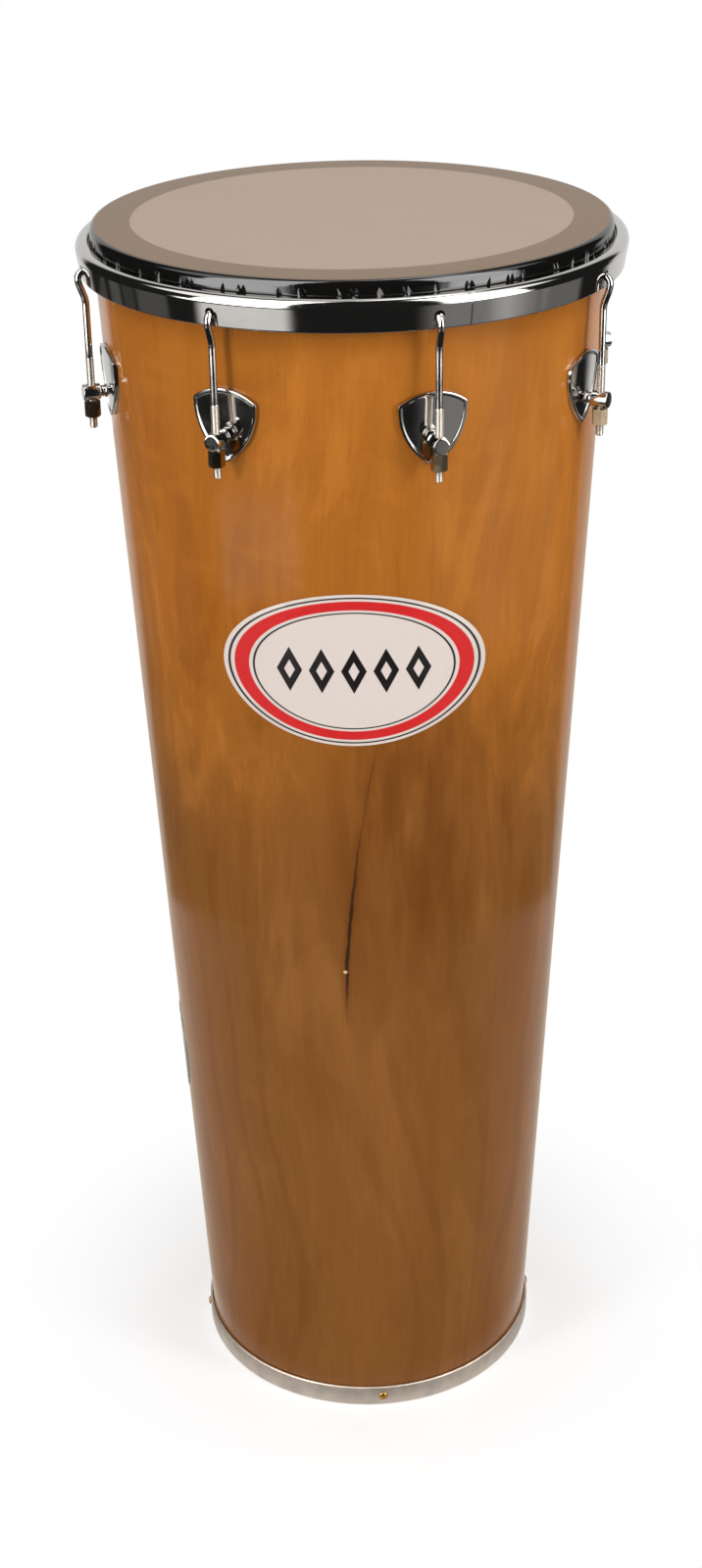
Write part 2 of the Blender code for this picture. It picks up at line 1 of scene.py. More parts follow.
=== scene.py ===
"""Timbal: a tall conical hand drum with a plastic head, a chromed hoop and hook tuning.

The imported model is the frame. Each of its pieces is dressed here with a finer mesh in the same place, and
with a finish worked out from nodes. Lengths are in metres, and angles round the drum run anticlockwise from
+X. In the finishes they are in degrees from the front.
"""
from __future__ import annotations

import logging
import math
from dataclasses import dataclass
from enum import Enum
from typing import Callable, Iterable, Optional, Sequence, Union

import bmesh
import bpy
import numpy as np
from mathutils import Matrix, Vector

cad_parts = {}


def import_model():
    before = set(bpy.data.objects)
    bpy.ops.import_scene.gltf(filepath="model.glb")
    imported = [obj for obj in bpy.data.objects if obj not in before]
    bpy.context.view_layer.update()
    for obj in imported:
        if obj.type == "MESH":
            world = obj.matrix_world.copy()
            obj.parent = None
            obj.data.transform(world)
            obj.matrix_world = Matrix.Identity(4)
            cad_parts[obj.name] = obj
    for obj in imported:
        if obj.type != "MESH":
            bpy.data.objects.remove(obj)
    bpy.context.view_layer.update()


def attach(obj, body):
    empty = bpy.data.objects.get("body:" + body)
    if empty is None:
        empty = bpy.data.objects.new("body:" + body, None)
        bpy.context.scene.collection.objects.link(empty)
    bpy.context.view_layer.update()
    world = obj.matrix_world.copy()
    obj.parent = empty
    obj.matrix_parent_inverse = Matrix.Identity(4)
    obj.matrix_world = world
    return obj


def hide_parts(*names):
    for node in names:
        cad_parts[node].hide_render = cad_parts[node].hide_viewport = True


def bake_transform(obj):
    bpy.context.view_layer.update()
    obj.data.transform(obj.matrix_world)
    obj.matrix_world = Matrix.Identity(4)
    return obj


LOG = logging.getLogger("timbal")
SHARP_ANGLE = math.radians(32.0)
FRONT = math.radians(-90.0)
CAMERA_TURN = math.radians(5.92)

Material = bpy.types.Material
Mesh = bpy.types.Mesh
Node = bpy.types.Node
Socket = bpy.types.NodeSocket
Tree = bpy.types.NodeTree
Point = tuple[float, float]
Span = tuple[float, float]
Colour = tuple[float, float, float]
Value = Union[float, Colour, Socket]
Profile = Sequence[Point]


class Body(str, Enum):
    """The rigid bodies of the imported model."""

    DRUM = "drum"
    TUNING_SET = "tuning_set"


class Slot(str, Enum):
    """The record's material slots."""

    VARNISHED_WOOD = "varnished_wood"
    BARE_WOOD = "bare_wood"
    CHROME = "chrome"
    ALLOY = "alloy"
    STEEL = "satin_steel"
    BRASS = "brass"
    FILM = "film"
    WHITE_FOIL = "white_foil"
    GREY_FOIL = "grey_foil"


def tone(red: int, green: int, blue: int) -> Colour:
    """Return a screen colour as the linear colour that a shader takes.

    Args:
        red: Red, 0 to 255.
        green: Green, 0 to 255.
        blue: Blue, 0 to 255.

    Returns:
        The three linear channels.
    """
    levels = [channel / 255.0 for channel in (red, green, blue)]
    linear = [v / 12.92 if v <= 0.04045 else ((v + 0.055) / 1.055) ** 2.4 for v in levels]
    return linear[0], linear[1], linear[2]


# Places on the drum

@dataclass(frozen=True)
class Layout:
    """The driving sizes that the pieces share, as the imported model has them."""

    height: float = 0.918
    shell_bottom: float = 0.1297
    shell_top: float = 0.1764
    gap: float = 0.0003
    wall: float = 0.008
    edge_round: float = 0.004
    film: float = 0.0005
    hoop_top: float = 0.9082
    hoop_wall: float = 0.0024
    lug_count: int = 8
    post_height: float = 0.8132
    rod_radius: float = 0.18496

    @property
    def slope(self) -> float:
        """How much the shell's radius grows with its height."""
        return (self.shell_top - self.shell_bottom) / self.height

    @property
    def bearing_edge(self) -> float:
        """The height of the shell's upper end, under the film."""
        return self.height - self.film - self.gap

    @property
    def edge_centre(self) -> Point:
        """The middle of the arc that rounds the bearing edge, as (radius, height)."""
        middle = self.bearing_edge - self.edge_round
        return self.shell_radius(middle) - self.edge_round, middle

    def shell_radius(self, height: float) -> float:
        """Return the shell's outer radius at a height."""
        return self.shell_bottom + (self.shell_top - self.shell_bottom) * height / self.height

    @property
    def lug_angles(self) -> list[float]:
        """The angles of the eight lugs, the first just left of the front."""
        step = 2.0 * math.pi / self.lug_count
        return [FRONT + (k - 0.5) * step for k in range(self.lug_count)]


def upright(angle: float, radius: float, height: float) -> Matrix:
    """Return the place at an angle round the drum where local X points outward and local Z up."""
    return Matrix.Rotation(angle, 4, "Z") @ Matrix.Translation((radius, 0.0, height))


def on_wall(angle: float, radius: float, height: float) -> Matrix:
    """Return the place at an angle round the drum where local Z points outward and local Y up."""
    quarter = math.pi / 2.0
    turn = Matrix.Rotation(quarter, 4, "Z") @ Matrix.Rotation(quarter, 4, "X")
    return upright(angle, radius, height) @ turn


def arc(centre: Point, radius: float, start: float, end: float, count: int) -> list[Point]:
    """Return points on an arc.

    Args:
        centre: The arc's centre.
        radius: Its radius.
        start: The first angle, in degrees.
        end: The last angle, in degrees.
        count: How many steps the arc has.

    Returns:
        count + 1 points.
    """
    angles = [math.radians(start + (end - start) * i / count) for i in range(count + 1)]
    return [(centre[0] + radius * math.cos(a), centre[1] + radius * math.sin(a)) for a in angles]


def lerp(low: float, high: float, share: float) -> float:
    """Return the value a share of the way from low to high."""
    return low + (high - low) * share


def ease(share: float) -> float:
    """Return a share from 0 to 1, eased at both ends."""
    clamped = min(max(share, 0.0), 1.0)
    return clamped * clamped * (3.0 - 2.0 * clamped)


# Meshes

def finished_mesh(name: str, vertices: np.ndarray, faces: Sequence[Sequence[int]],
                  slots: Optional[Sequence[int]] = None) -> Mesh:
    """Return a smooth-shaded mesh whose corners stay crisp.

    Args:
        name: The mesh's name.
        vertices: One row of x, y, z per vertex.
        faces: Vertex numbers of each face.
        slots: The material slot of each face, if there is more than one.

    Returns:
        The new mesh, with points at one place welded.
    """
    mesh = bpy.data.meshes.new(name)
    mesh.from_pydata(vertices.tolist(), [], [tuple(face) for face in faces])
    if slots is not None:
        mesh.polygons.foreach_set("material_index", list(slots))
    welded = bmesh.new()
    welded.from_mesh(mesh)
    bmesh.ops.remove_doubles(welded, verts=welded.verts, dist=1e-7)
    bmesh.ops.dissolve_degenerate(welded, edges=welded.edges, dist=1e-8)
    welded.to_mesh(mesh)
    welded.free()
    mesh.shade_smooth()
    mesh.set_sharp_from_angle(angle=SHARP_ANGLE)
    return mesh


def row_faces(rows: int, count: int, stretches: int, closed: bool = True) -> list[tuple[int, ...]]:
    """Return the faces between neighbouring rows of points.

    Args:
        rows: How many rows there are.
        count: How many points each row has.
        stretches: How many stretches of a row have faces, which is count where a row is a ring.
        closed: Whether the last row joins the first.

    Returns:
        The vertex numbers of each face.
    """
    faces = []
    for i in range(rows if closed else rows - 1):
        here, there = i * count, ((i + 1) % rows) * count
        for j in range(stretches):
            k = (j + 1) % count
            faces.append((here + j, here + k, there + k, there + j))
    return faces


def lathe(name: str, profile: Union[Profile, Callable[[float], Profile]], steps: int,
          slots: Optional[Sequence[int]] = None) -> Mesh:
    """Return a turned mesh.

    Args:
        name: The mesh's name.
        profile: Points of (radius, height) down the outer side, or a function that gives them for an
            angle. It is closed unless both its ends lie on the axis.
        steps: How many steps make a full turn.
        slots: The material slot of each stretch of the profile.

    Returns:
        The new mesh.
    """
    shape = profile if callable(profile) else (lambda _angle: profile)
    rows = []
    for i in range(steps):
        angle = 2.0 * math.pi * i / steps
        rows.append([(r * math.cos(angle), r * math.sin(angle), z) for r, z in shape(angle)])
    count = len(rows[0])
    on_axis = shape(0.0)[0][0] == 0.0 and shape(0.0)[-1][0] == 0.0
    faces = row_faces(steps, count, count - 1 if on_axis else count)
    face_slots = list(slots) * steps if slots is not None else None
    return finished_mesh(name, np.array(rows).reshape(-1, 3), faces, face_slots)


def tube(name: str, path: Sequence[tuple[float, float]], radius: Callable[[int, float], float],
         sides: int) -> Mesh:
    """Return a closed tube swept along a path in the XZ plane.

    Args:
        name: The mesh's name.
        path: Points of (x, z) along the tube's middle.
        radius: Gives the radius at a point's number and an angle round the tube.
        sides: How many sides the tube has.

    Returns:
        The new mesh.
    """
    points = np.array(path)
    along = np.gradient(points, axis=0)
    along /= np.linalg.norm(along, axis=1)[:, None]
    vertices = []
    for i, ((x, z), (dx, dz)) in enumerate(zip(points, along)):
        for k in range(sides):
            angle = 2.0 * math.pi * k / sides
            reach = radius(i, angle)
            out = reach * math.cos(angle)
            vertices.append((x + dz * out, reach * math.sin(angle), z - dx * out))
    last = len(points) - 1
    faces = row_faces(len(points), sides, sides, closed=False)
    faces.append(tuple(reversed(range(sides))))
    faces.append(tuple(last * sides + k for k in range(sides)))
    return finished_mesh(name, np.array(vertices), faces)


def placed(name: str, data: bpy.types.ID) -> bpy.types.Object:
    """Return a new object with some data, in the scene."""
    made = bpy.data.objects.new(name, data)
    bpy.context.scene.collection.objects.link(made)
    return made


def carve(mesh: Mesh, cutter: Mesh, places: Iterable[Matrix]) -> Mesh:
    """Return a mesh with copies of a cutter taken out of it.

    Args:
        mesh: The mesh to cut.
        cutter: The shape that is taken out.
        places: Where the copies stand, in the mesh's own axes.

    Returns:
        The cut mesh, shaded smooth with crisp corners.
    """
    whole = bmesh.new()
    for place in places:
        copy = cutter.copy()
        copy.transform(place)
        whole.from_mesh(copy)
    joined = bpy.data.meshes.new("cutter")
    whole.to_mesh(joined)
    whole.free()
    base, tool = placed("base", mesh), placed("tool", joined)
    boolean = base.modifiers.new("Cut", "BOOLEAN")
    boolean.operation = "DIFFERENCE"
    boolean.solver = "EXACT"
    boolean.object = tool
    evaluated = base.evaluated_get(bpy.context.evaluated_depsgraph_get())
    result = bpy.data.meshes.new_from_object(evaluated)
    for obj in (base, tool):
        bpy.data.objects.remove(obj, do_unlink=True)
    result.name = mesh.name
    result.shade_smooth()
    result.set_sharp_from_angle(angle=SHARP_ANGLE)
    return result


def rod_mesh(radius: float, length: float, sides: int = 48) -> Mesh:
    """Return a plain round bar about local Z, used to cut holes."""
    half = length / 2.0
    return lathe("bar", [(0.0, half), (radius, half), (radius, -half), (0.0, -half)], sides)


def show(name: str, mesh: Mesh, finishes: Sequence[Material], place: Matrix,
         body: Union[Body, str], nodes: Sequence[str]) -> bpy.types.Object:
    """Put a piece on the drum.

    Args:
        name: The piece's name.
        mesh: Its mesh.
        finishes: A material for each of its slots.
        place: Where it stands.
        body: The rigid body that it rides on.
        nodes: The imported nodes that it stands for.

    Returns:
        The new object.
    """
    piece = placed(name, mesh)
    piece.matrix_world = place
    mesh.materials.clear()
    for finish in finishes:
        mesh.materials.append(finish)
    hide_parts(*nodes)
    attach(piece, str(body.value if isinstance(body, Body) else body))
    LOG.info("%s rides on %s, %d faces", name, body, len(mesh.polygons))
    return piece


# Node trees

class Graph:
    """Writes a shader's node tree from left to right, so that it reads like a formula."""

    def __init__(self, tree: Tree) -> None:
        """Start writing in a tree."""
        self.tree = tree

    def node(self, kind: str, **settings: object) -> Node:
        """Add a node of a kind, with some of its settings."""
        made = self.tree.nodes.new(kind)
        for name, value in settings.items():
            setattr(made, name, value)
        return made

    def feed(self, socket: Socket, value: Value) -> None:
        """Link a socket to another, or set its constant."""
        if isinstance(value, Socket):
            self.tree.links.new(value, socket)
        elif isinstance(value, tuple) and socket.type == "RGBA":
            socket.default_value = (*value, 1.0)
        else:
            socket.default_value = value

    def math(self, operation: str, *values: Value) -> Socket:
        """Return the result of a sum on one to three values."""
        made = self.node("ShaderNodeMath", operation=operation)
        for socket, value in zip(made.inputs, values):
            self.feed(socket, value)
        return made.outputs[0]

    def plus(self, first: Value, second: Value) -> Socket:
        """Return two values added up."""
        return self.math("ADD", first, second)

    def minus(self, first: Value, second: Value) -> Socket:
        """Return the first value less the second."""
        return self.math("SUBTRACT", first, second)

    def times(self, first: Value, second: Value) -> Socket:
        """Return two values multiplied."""
        return self.math("MULTIPLY", first, second)

    def over(self, first: Value, second: Value) -> Socket:
        """Return the first value divided by the second."""
        return self.math("DIVIDE", first, second)

    def size(self, value: Value) -> Socket:
        """Return a value without its sign."""
        return self.math("ABSOLUTE", value)

    def scaled(self, value: Value, factor: Value, base: Value) -> Socket:
        """Return a value times a factor, added to a base."""
        return self.math("MULTIPLY_ADD", value, factor, base)

    def sway(self, value: Value, noise: Socket, span: float) -> Socket:
        """Return a value moved either way by a noise, through a span in all."""
        return self.scaled(self.minus(noise, 0.5), span, value)

    def length(self, x: Value, y: Value) -> Socket:
        """Return how far (x, y) is from (0, 0)."""
        return self.math("SQRT", self.plus(self.times(x, x), self.times(y, y)))

    def remap(self, value: Value, low: float, high: float, to_low: float = 0.0, to_high: float = 1.0,
              smooth: bool = True) -> Socket:
        """Return a value moved from one range to another, clamped."""
        made = self.node("ShaderNodeMapRange", interpolation_type="SMOOTHSTEP" if smooth else "LINEAR")
        for name, given in (("Value", value), ("From Min", low), ("From Max", high), ("To Min", to_low),
                            ("To Max", to_high)):
            self.feed(made.inputs[name], given)
        return made.outputs["Result"]

    def edge(self, value: Value, middle: float, soft: float, rising: bool = True) -> Socket:
        """Return a step from 0 to 1 at a middle, or from 1 to 0, softened either way."""
        ends = (0.0, 1.0) if rising else (1.0, 0.0)
        return self.remap(value, middle - soft, middle + soft, *ends)

    def between(self, value: Value, rise: Span, fall: Span) -> Socket:
        """Return 1 where a value is past its rise and short of its fall, and 0 outside both."""
        return self.times(self.remap(value, *rise), self.remap(value, *fall, 1.0, 0.0))

    def mix(self, share: Value, first: Value, second: Value, blend: str = "MIX") -> Socket:
        """Return two colours mixed."""
        made = self.node("ShaderNodeMix", data_type="RGBA", blend_type=blend)
        self.feed(made.inputs[0], share)
        self.feed(made.inputs[6], first)
        self.feed(made.inputs[7], second)
        return made.outputs[2]

    def grey(self, level: Value) -> Socket:
        """Return a colour that is a level in all its channels."""
        return self.combine(level, level, level)

    def shaded(self, colour: Value, level: Value) -> Socket:
        """Return a colour times a level."""
        return self.mix(1.0, colour, self.grey(level), "MULTIPLY")

    def noise(self, place: Socket, scale: float, detail: float = 2.0, roughness: float = 0.5,
              distortion: float = 0.0) -> Socket:
        """Return a noise value at a place."""
        made = self.node("ShaderNodeTexNoise")
        for name, given in (("Vector", place), ("Scale", scale), ("Detail", detail),
                            ("Roughness", roughness), ("Distortion", distortion)):
            self.feed(made.inputs[name], given)
        return made.outputs["Fac"]

    def combine(self, x: Value, y: Value, z: Value) -> Socket:
        """Return a vector of three values."""
        made = self.node("ShaderNodeCombineXYZ")
        for socket, value in zip(made.inputs, (x, y, z)):
            self.feed(socket, value)
        return made.outputs[0]

    def stretch(self, across: Value, across_scale: float, along: Value, along_scale: float,
                shift: Value) -> Socket:
        """Return a vector of two scaled values, and a shift that tells one noise from another."""
        return self.combine(self.times(across, across_scale), self.times(along, along_scale), shift)

    def separate(self, vector: Socket) -> Sequence[Socket]:
        """Return the three values of a vector."""
        made = self.node("ShaderNodeSeparateXYZ")
        self.feed(made.inputs[0], vector)
        return made.outputs

    def bump(self, height: Socket, distance: float, normal: Optional[Socket] = None) -> Socket:
        """Return a normal bent by a height."""
        made = self.node("ShaderNodeBump")
        made.inputs["Strength"].default_value = 1.0
        made.inputs["Distance"].default_value = distance
        self.feed(made.inputs["Height"], height)
        if normal is not None:
            self.feed(made.inputs["Normal"], normal)
        return made.outputs["Normal"]

    def place(self) -> Socket:
        """Return the place on the object, in its own axes."""
        return self.node("ShaderNodeTexCoord").outputs["Object"]

    def polar(self, place: Socket) -> tuple[Socket, Socket, Socket]:
        """Return a place's angle in degrees from the front, its radius and its height."""
        x, y, z = self.separate(place)
        angle = self.math("ARCTAN2", x, self.times(y, -1.0))
        return self.times(angle, 180.0 / math.pi), self.length(x, y), z

    def oval(self, place: Socket, half_width: float, half_height: float) -> Socket:
        """Return how far out a place is on an oval, where 1 is the oval's outline."""
        x, y, _ = self.separate(place)
        return self.length(self.over(x, half_width), self.over(y, half_height))

    def effect(self, tree: Tree, **inputs: Value) -> Node:
        """Place a shared effect, with its own values."""
        made = self.node("ShaderNodeGroup")
        made.node_tree = tree
        for name, value in inputs.items():
            self.feed(made.inputs[name], value)
        return made


class Effects:
    """Effects that several finishes share, each built once as a node group."""

    MEAN_RADIUS = 0.155
    HAIR_TURN = (0.4, 0.9, 0.3)
    HAIR_SCALE = (14.0, 900.0, 900.0)

    def __init__(self) -> None:
        """Start with nothing built."""
        self._built: dict[str, Tree] = {}

    @staticmethod
    def _start(name: str, inputs: dict[str, str],
               outputs: dict[str, str]) -> tuple[Tree, Graph, Node, Node]:
        """Return a new group with its sockets, and the writer and end nodes for it.

        Args:
            name: The group's name.
            inputs: Socket names and types.
            outputs: Socket names and types.

        Returns:
            The tree, its writer, its input node and its output node.
        """
        tree = bpy.data.node_groups.new(name, "ShaderNodeTree")
        for label, kind in inputs.items():
            tree.interface.new_socket(name=label, in_out="INPUT", socket_type=kind)
        for label, kind in outputs.items():
            tree.interface.new_socket(name=label, in_out="OUTPUT", socket_type=kind)
        graph = Graph(tree)
        return tree, graph, graph.node("NodeGroupInput"), graph.node("NodeGroupOutput")

    def around(self) -> Tree:
        """Return the effect that unrolls a place into an angle, an arc length, a radius and a height."""
        if "around" not in self._built:
            numbers = {label: "NodeSocketFloat" for label in ("Angle", "Arc", "Radius", "Height")}
            tree, graph, start, end = self._start("around", {"Place": "NodeSocketVector"}, numbers)
            angle, radius, height = graph.polar(start.outputs["Place"])
            arc_length = graph.times(angle, math.radians(self.MEAN_RADIUS))
            unrolled = {"Angle": angle, "Arc": arc_length, "Radius": radius, "Height": height}
            for label, value in unrolled.items():
                graph.feed(end.inputs[label], value)
            self._built["around"] = tree
        return self._built["around"]

    def veneer(self) -> Tree:
        """Return the effect that grows peeled veneer: broad figure, mottle, fine fibres and pores."""
        if "veneer" not in self._built:
            numbers = {label: "NodeSocketFloat" for label in ("Figure", "Mottle", "Fibre", "Pores")}
            inputs = {"Arc": "NodeSocketFloat", "Height": "NodeSocketFloat"}
            tree, graph, start, end = self._start("veneer", inputs, numbers)
            arc_length, height = start.outputs["Arc"], start.outputs["Height"]

            def stretched(across: float, along: float, shift: float, run: Socket = arc_length) -> Socket:
                """Return the unrolled place, scaled across and along the grain."""
                return graph.stretch(run, across, height, along, shift)

            drift = graph.noise(stretched(5.0, 2.6, 4.0), 1.0, 1.0, 0.4)
            bent = graph.sway(arc_length, drift, 0.045)
            broad = graph.noise(stretched(5.0, 1.5, 8.0), 1.0, 2.0)
            arches = graph.scaled(broad, 9.0, graph.times(bent, 30.0))
            wave = graph.math("SINE", graph.times(arches, 4.2))
            grain = {
                "Figure": graph.scaled(wave, 0.5, 0.5),
                "Mottle": graph.noise(stretched(19.0, 4.6, 1.0, bent), 1.0, 6.0, 0.60, 0.7),
                "Fibre": graph.noise(stretched(430.0, 17.0, 5.0, bent), 1.0, 4.0, 0.7),
                "Pores": graph.noise(stretched(1150.0, 85.0, 2.0, bent), 1.0, 2.0, 0.6),
            }
            for label, value in grain.items():
                graph.feed(end.inputs[label], value)
            self._built["veneer"] = tree
        return self._built["veneer"]

    def handling(self) -> Tree:
        """Return the effect of handling on a polished face: smudges, and hairline scratches."""
        if "handling" not in self._built:
            inputs = {"Place": "NodeSocketVector", "Scale": "NodeSocketFloat"}
            outputs = {"Smudge": "NodeSocketFloat", "Scratch": "NodeSocketFloat"}
            tree, graph, start, end = self._start("handling", inputs, outputs)
            sized = graph.node("ShaderNodeVectorMath", operation="SCALE")
            graph.feed(sized.inputs[0], start.outputs["Place"])
            graph.feed(sized.inputs["Scale"], start.outputs["Scale"])
            smudge = graph.noise(sized.outputs[0], 38.0, 5.0, 0.62, 0.6)
            long_way = graph.node("ShaderNodeMapping")
            graph.feed(long_way.inputs["Vector"], sized.outputs[0])
            long_way.inputs["Rotation"].default_value = self.HAIR_TURN
            long_way.inputs["Scale"].default_value = self.HAIR_SCALE
            hairs = graph.noise(long_way.outputs[0], 1.0, 2.0, 0.5)
            graph.feed(end.inputs["Smudge"], graph.remap(smudge, 0.35, 0.75))
            graph.feed(end.inputs["Scratch"], graph.remap(hairs, 0.70, 0.82))
            self._built["handling"] = tree
        return self._built["handling"]


@dataclass(frozen=True)
class Finish:
    """A material that is worked out from nodes."""

    name: str
    effects: Effects

    def start(self) -> tuple[Material, Graph, Node]:
        """Return a new material, its writer and its shader."""
        material = bpy.data.materials.new(self.name)
        material.use_nodes = True
        graph = Graph(material.node_tree)
        return material, graph, material.node_tree.nodes["Principled BSDF"]

    def unrolled(self, graph: Graph) -> Node:
        """Return the place on the drum, unrolled."""
        return graph.effect(self.effects.around(), Place=graph.place())

    def build(self) -> Material:
        """Return the finished material."""
        raise NotImplementedError


@dataclass(frozen=True)
class PolishedMetal(Finish):
    """Chrome plate, or another bright metal, with smudges and hairlines."""

    colour: Colour = tone(206, 203, 198)
    roughness: float = 0.06
    smudge: float = 0.10
    scale: float = 1.0
    seam_angle: Optional[float] = None
    seam_top: Span = (0.9005, 0.9030)
    seam_tone: Colour = (0.01, 0.01, 0.01)
    thread_top: Optional[float] = None
    thread_run_out: float = 0.002
    thread_tone: Colour = tone(216, 208, 196)
    scratch_depth: float = 0.000004

    def build(self) -> Material:
        """Return the metal."""
        material, graph, shader = self.start()
        worn = graph.effect(self.effects.handling(), Place=graph.place(), Scale=self.scale)
        smudge, scratch = worn.outputs["Smudge"], worn.outputs["Scratch"]
        rough = graph.scaled(scratch, 0.05, graph.scaled(smudge, self.smudge, self.roughness))
        dulled = tuple(0.86 * channel for channel in self.colour)
        colour = graph.mix(graph.times(smudge, 0.35), self.colour, dulled)
        height = graph.times(scratch, -1.0)
        if self.seam_angle is not None:
            unrolled = self.unrolled(graph)
            wander = graph.noise(graph.combine(0.0, 0.0, unrolled.outputs["Height"]), 900.0, 2.0)
            angle = graph.scaled(wander, 0.16, unrolled.outputs["Angle"])
            off = graph.size(graph.minus(angle, self.seam_angle))
            weld = graph.times(graph.remap(off, 0.10, 0.30, 1.0, 0.0),
                               graph.remap(unrolled.outputs["Height"], *self.seam_top, 1.0, 0.0))
            colour = graph.mix(graph.times(weld, 0.9), colour, self.seam_tone)
            rough = graph.scaled(weld, 0.4, rough)
            height = graph.scaled(graph.remap(off, 0.1, 0.9, 1.0, 0.0), -8.0, height)
        if self.thread_top is not None:
            _, _, up = graph.separate(graph.place())
            cut = graph.remap(up, self.thread_top - self.thread_run_out, self.thread_top, 1.0, 0.0)
            rough = graph.scaled(cut, 0.22, rough)
            colour = graph.mix(graph.times(cut, 0.5), colour, self.thread_tone)
        graph.feed(shader.inputs["Base Color"], colour)
        graph.feed(shader.inputs["Roughness"], rough)
        graph.feed(shader.inputs["Normal"], graph.bump(height, self.scratch_depth))
        shader.inputs["Metallic"].default_value = 1.0
        return material


@dataclass(frozen=True)
class VarnishedVeneer(Finish):
    """Amber peeled veneer under thick gloss varnish, with one dark mineral streak at the front.

    The spans are heights on the drum. The low colours hold near the foot, and the others near the hoop. The
    low colours are darker with painted shade, the wood is paler near the top with painted light, and under
    the hoop it is darkened with painted shade and a painted shadow.
    """

    light: Colour = tone(176, 108, 39)
    middle: Colour = tone(154, 92, 31)
    dark: Colour = tone(128, 71, 22)
    # The low colours are darker with painted shade, towards the foot.
    low_light: Colour = tone(142, 93, 44)
    low_middle: Colour = tone(120, 75, 33)
    low_dark: Colour = tone(98, 55, 19)
    low_to_high: Span = (0.47, 0.71)
    calm_to_lively: Span = (0.30, 0.50)
    ripple_rise: Span = (0.5, 0.8)
    # Painted light: the heights over which the wood turns paler near the top.
    painted_light_rise: Span = (0.76, 0.88)
    # Painted shade: the heights over which the wood darkens under the hoop.
    hoop_shade: Span = (0.862, 0.902)
    # Painted shadow: the heights of the dark band just under the hoop.
    painted_hoop_shadow: Span = (0.885, 0.892)
    # The streak's colour also paints the shadow band under the hoop.
    streak: Colour = tone(42, 29, 19)
    streak_run: Span = (0.37, 0.60)
    streak_ends: tuple[Span, Span] = ((0.362, 0.385), (0.575, 0.602))
    streak_heart: tuple[Span, Span] = ((0.378, 0.41), (0.455, 0.54))
    streak_start: float = 0.2
    streak_lean: float = 9.4
    stain_turns: tuple[Span, Span] = ((-6.0, 6.0), (26.0, 52.0))
    stain_heights: tuple[Span, Span] = ((0.34, 0.48), (0.56, 0.68))
    pinhole: Colour = tone(214, 178, 128)
    pinhole_angle: float = 1.0
    pinhole_height: float = 0.4125
    pinhole_half_turn: float = 0.62
    pinhole_half_height: float = 0.0014
    varnish_ior: float = 1.38
    varnish_depth: float = 0.00016
    bloom: float = 0.70
    bloom_roughness: float = 0.22
    bloom_tint: Colour = (1.0, 0.72, 0.46)

    def build(self) -> Material:
        """Return the varnished wood."""
        material, graph, shader = self.start()
        unrolled = self.unrolled(graph)
        arc_length, height = unrolled.outputs["Arc"], unrolled.outputs["Height"]
        grain = graph.effect(self.effects.veneer(), Arc=arc_length, Height=height)
        mottle, fibre = grain.outputs["Mottle"], grain.outputs["Fibre"]
        drift = graph.noise(graph.combine(graph.times(arc_length, 7.0), 0.0, 6.0), 1.0, 2.0)
        level = graph.sway(graph.sway(height, drift, 0.22), mottle, 0.12)
        # Painted shade: towards the foot the wood takes the darker low colours.
        lower = graph.remap(level, *self.low_to_high, 1.0, 0.0)
        calm = graph.remap(level, *self.calm_to_lively, 0.45, 1.0)
        light = graph.mix(lower, self.light, self.low_light)
        middle = graph.mix(lower, self.middle, self.low_middle)
        dark = graph.mix(lower, self.dark, self.low_dark)
        pale_mottle = graph.times(graph.remap(mottle, 0.50, 0.63, 0.0, 0.60), calm)
        dark_mottle = graph.times(graph.remap(mottle, 0.36, 0.47, 0.42, 0.0), calm)
        colour = graph.mix(dark_mottle, graph.mix(pale_mottle, middle, light), dark)
        arches = graph.times(graph.remap(grain.outputs["Figure"], 0.76, 1.0),
                             graph.remap(calm, 0.45, 1.0, 0.22, 0.12))
        colour = graph.mix(arches, colour, dark)
        curl = graph.noise(graph.stretch(arc_length, 22.0, height, 44.0, 9.0), 1.0, 3.0, 0.5, 0.8)
        ripple = graph.times(graph.remap(curl, 0.52, 0.68),
                             graph.remap(height, *self.ripple_rise, 0.06, 0.22))
        colour = graph.mix(ripple, colour, light)
        # Painted light: the wood is paler near the top of the shell.
        colour = graph.mix(graph.remap(height, *self.painted_light_rise, 0.0, 0.30), colour, light)
        colour = graph.shaded(colour, graph.remap(fibre, 0.35, 0.68, 0.93, 1.045, smooth=False))
        colour = graph.mix(graph.remap(grain.outputs["Pores"], 0.58, 0.72, 0.0, 0.22), colour, dark)
        fleck = graph.noise(graph.stretch(arc_length, 240.0, height, 80.0, 12.0), 1.0, 1.0)
        colour = graph.mix(graph.remap(fleck, 0.80, 0.86, 0.0, 0.6), colour, self.low_dark)
        # Painted shade: the wood darkens under the hoop, in streaks that follow the fibres.
        painted_hoop_shade = graph.remap(graph.sway(height, fibre, 0.03), *self.hoop_shade, 0.0, 0.75)
        colour = graph.mix(painted_hoop_shade, colour, self.low_dark)
        # Painted shadow: a dark band just under the hoop, in the streak's colour.
        colour = graph.mix(graph.remap(height, *self.painted_hoop_shadow, 0.0, 0.9), colour, self.streak)
        colour = self._streaked(graph, unrolled, colour)
        graph.feed(shader.inputs["Base Color"], colour)
        graph.feed(shader.inputs["Roughness"], graph.remap(mottle, 0.3, 0.7, 0.07, 0.12))
        waves = graph.noise(graph.stretch(arc_length, 30.0, height, 9.0, 4.0), 1.0, 2.0)
        graph.feed(shader.inputs["Normal"], graph.bump(graph.scaled(fibre, 0.012, waves), self.varnish_depth))
        shader.inputs["IOR"].default_value = self.varnish_ior
        shader.inputs["Sheen Weight"].default_value = self.bloom
        shader.inputs["Sheen Roughness"].default_value = self.bloom_roughness
        shader.inputs["Sheen Tint"].default_value = (*self.bloom_tint, 1.0)
        return material

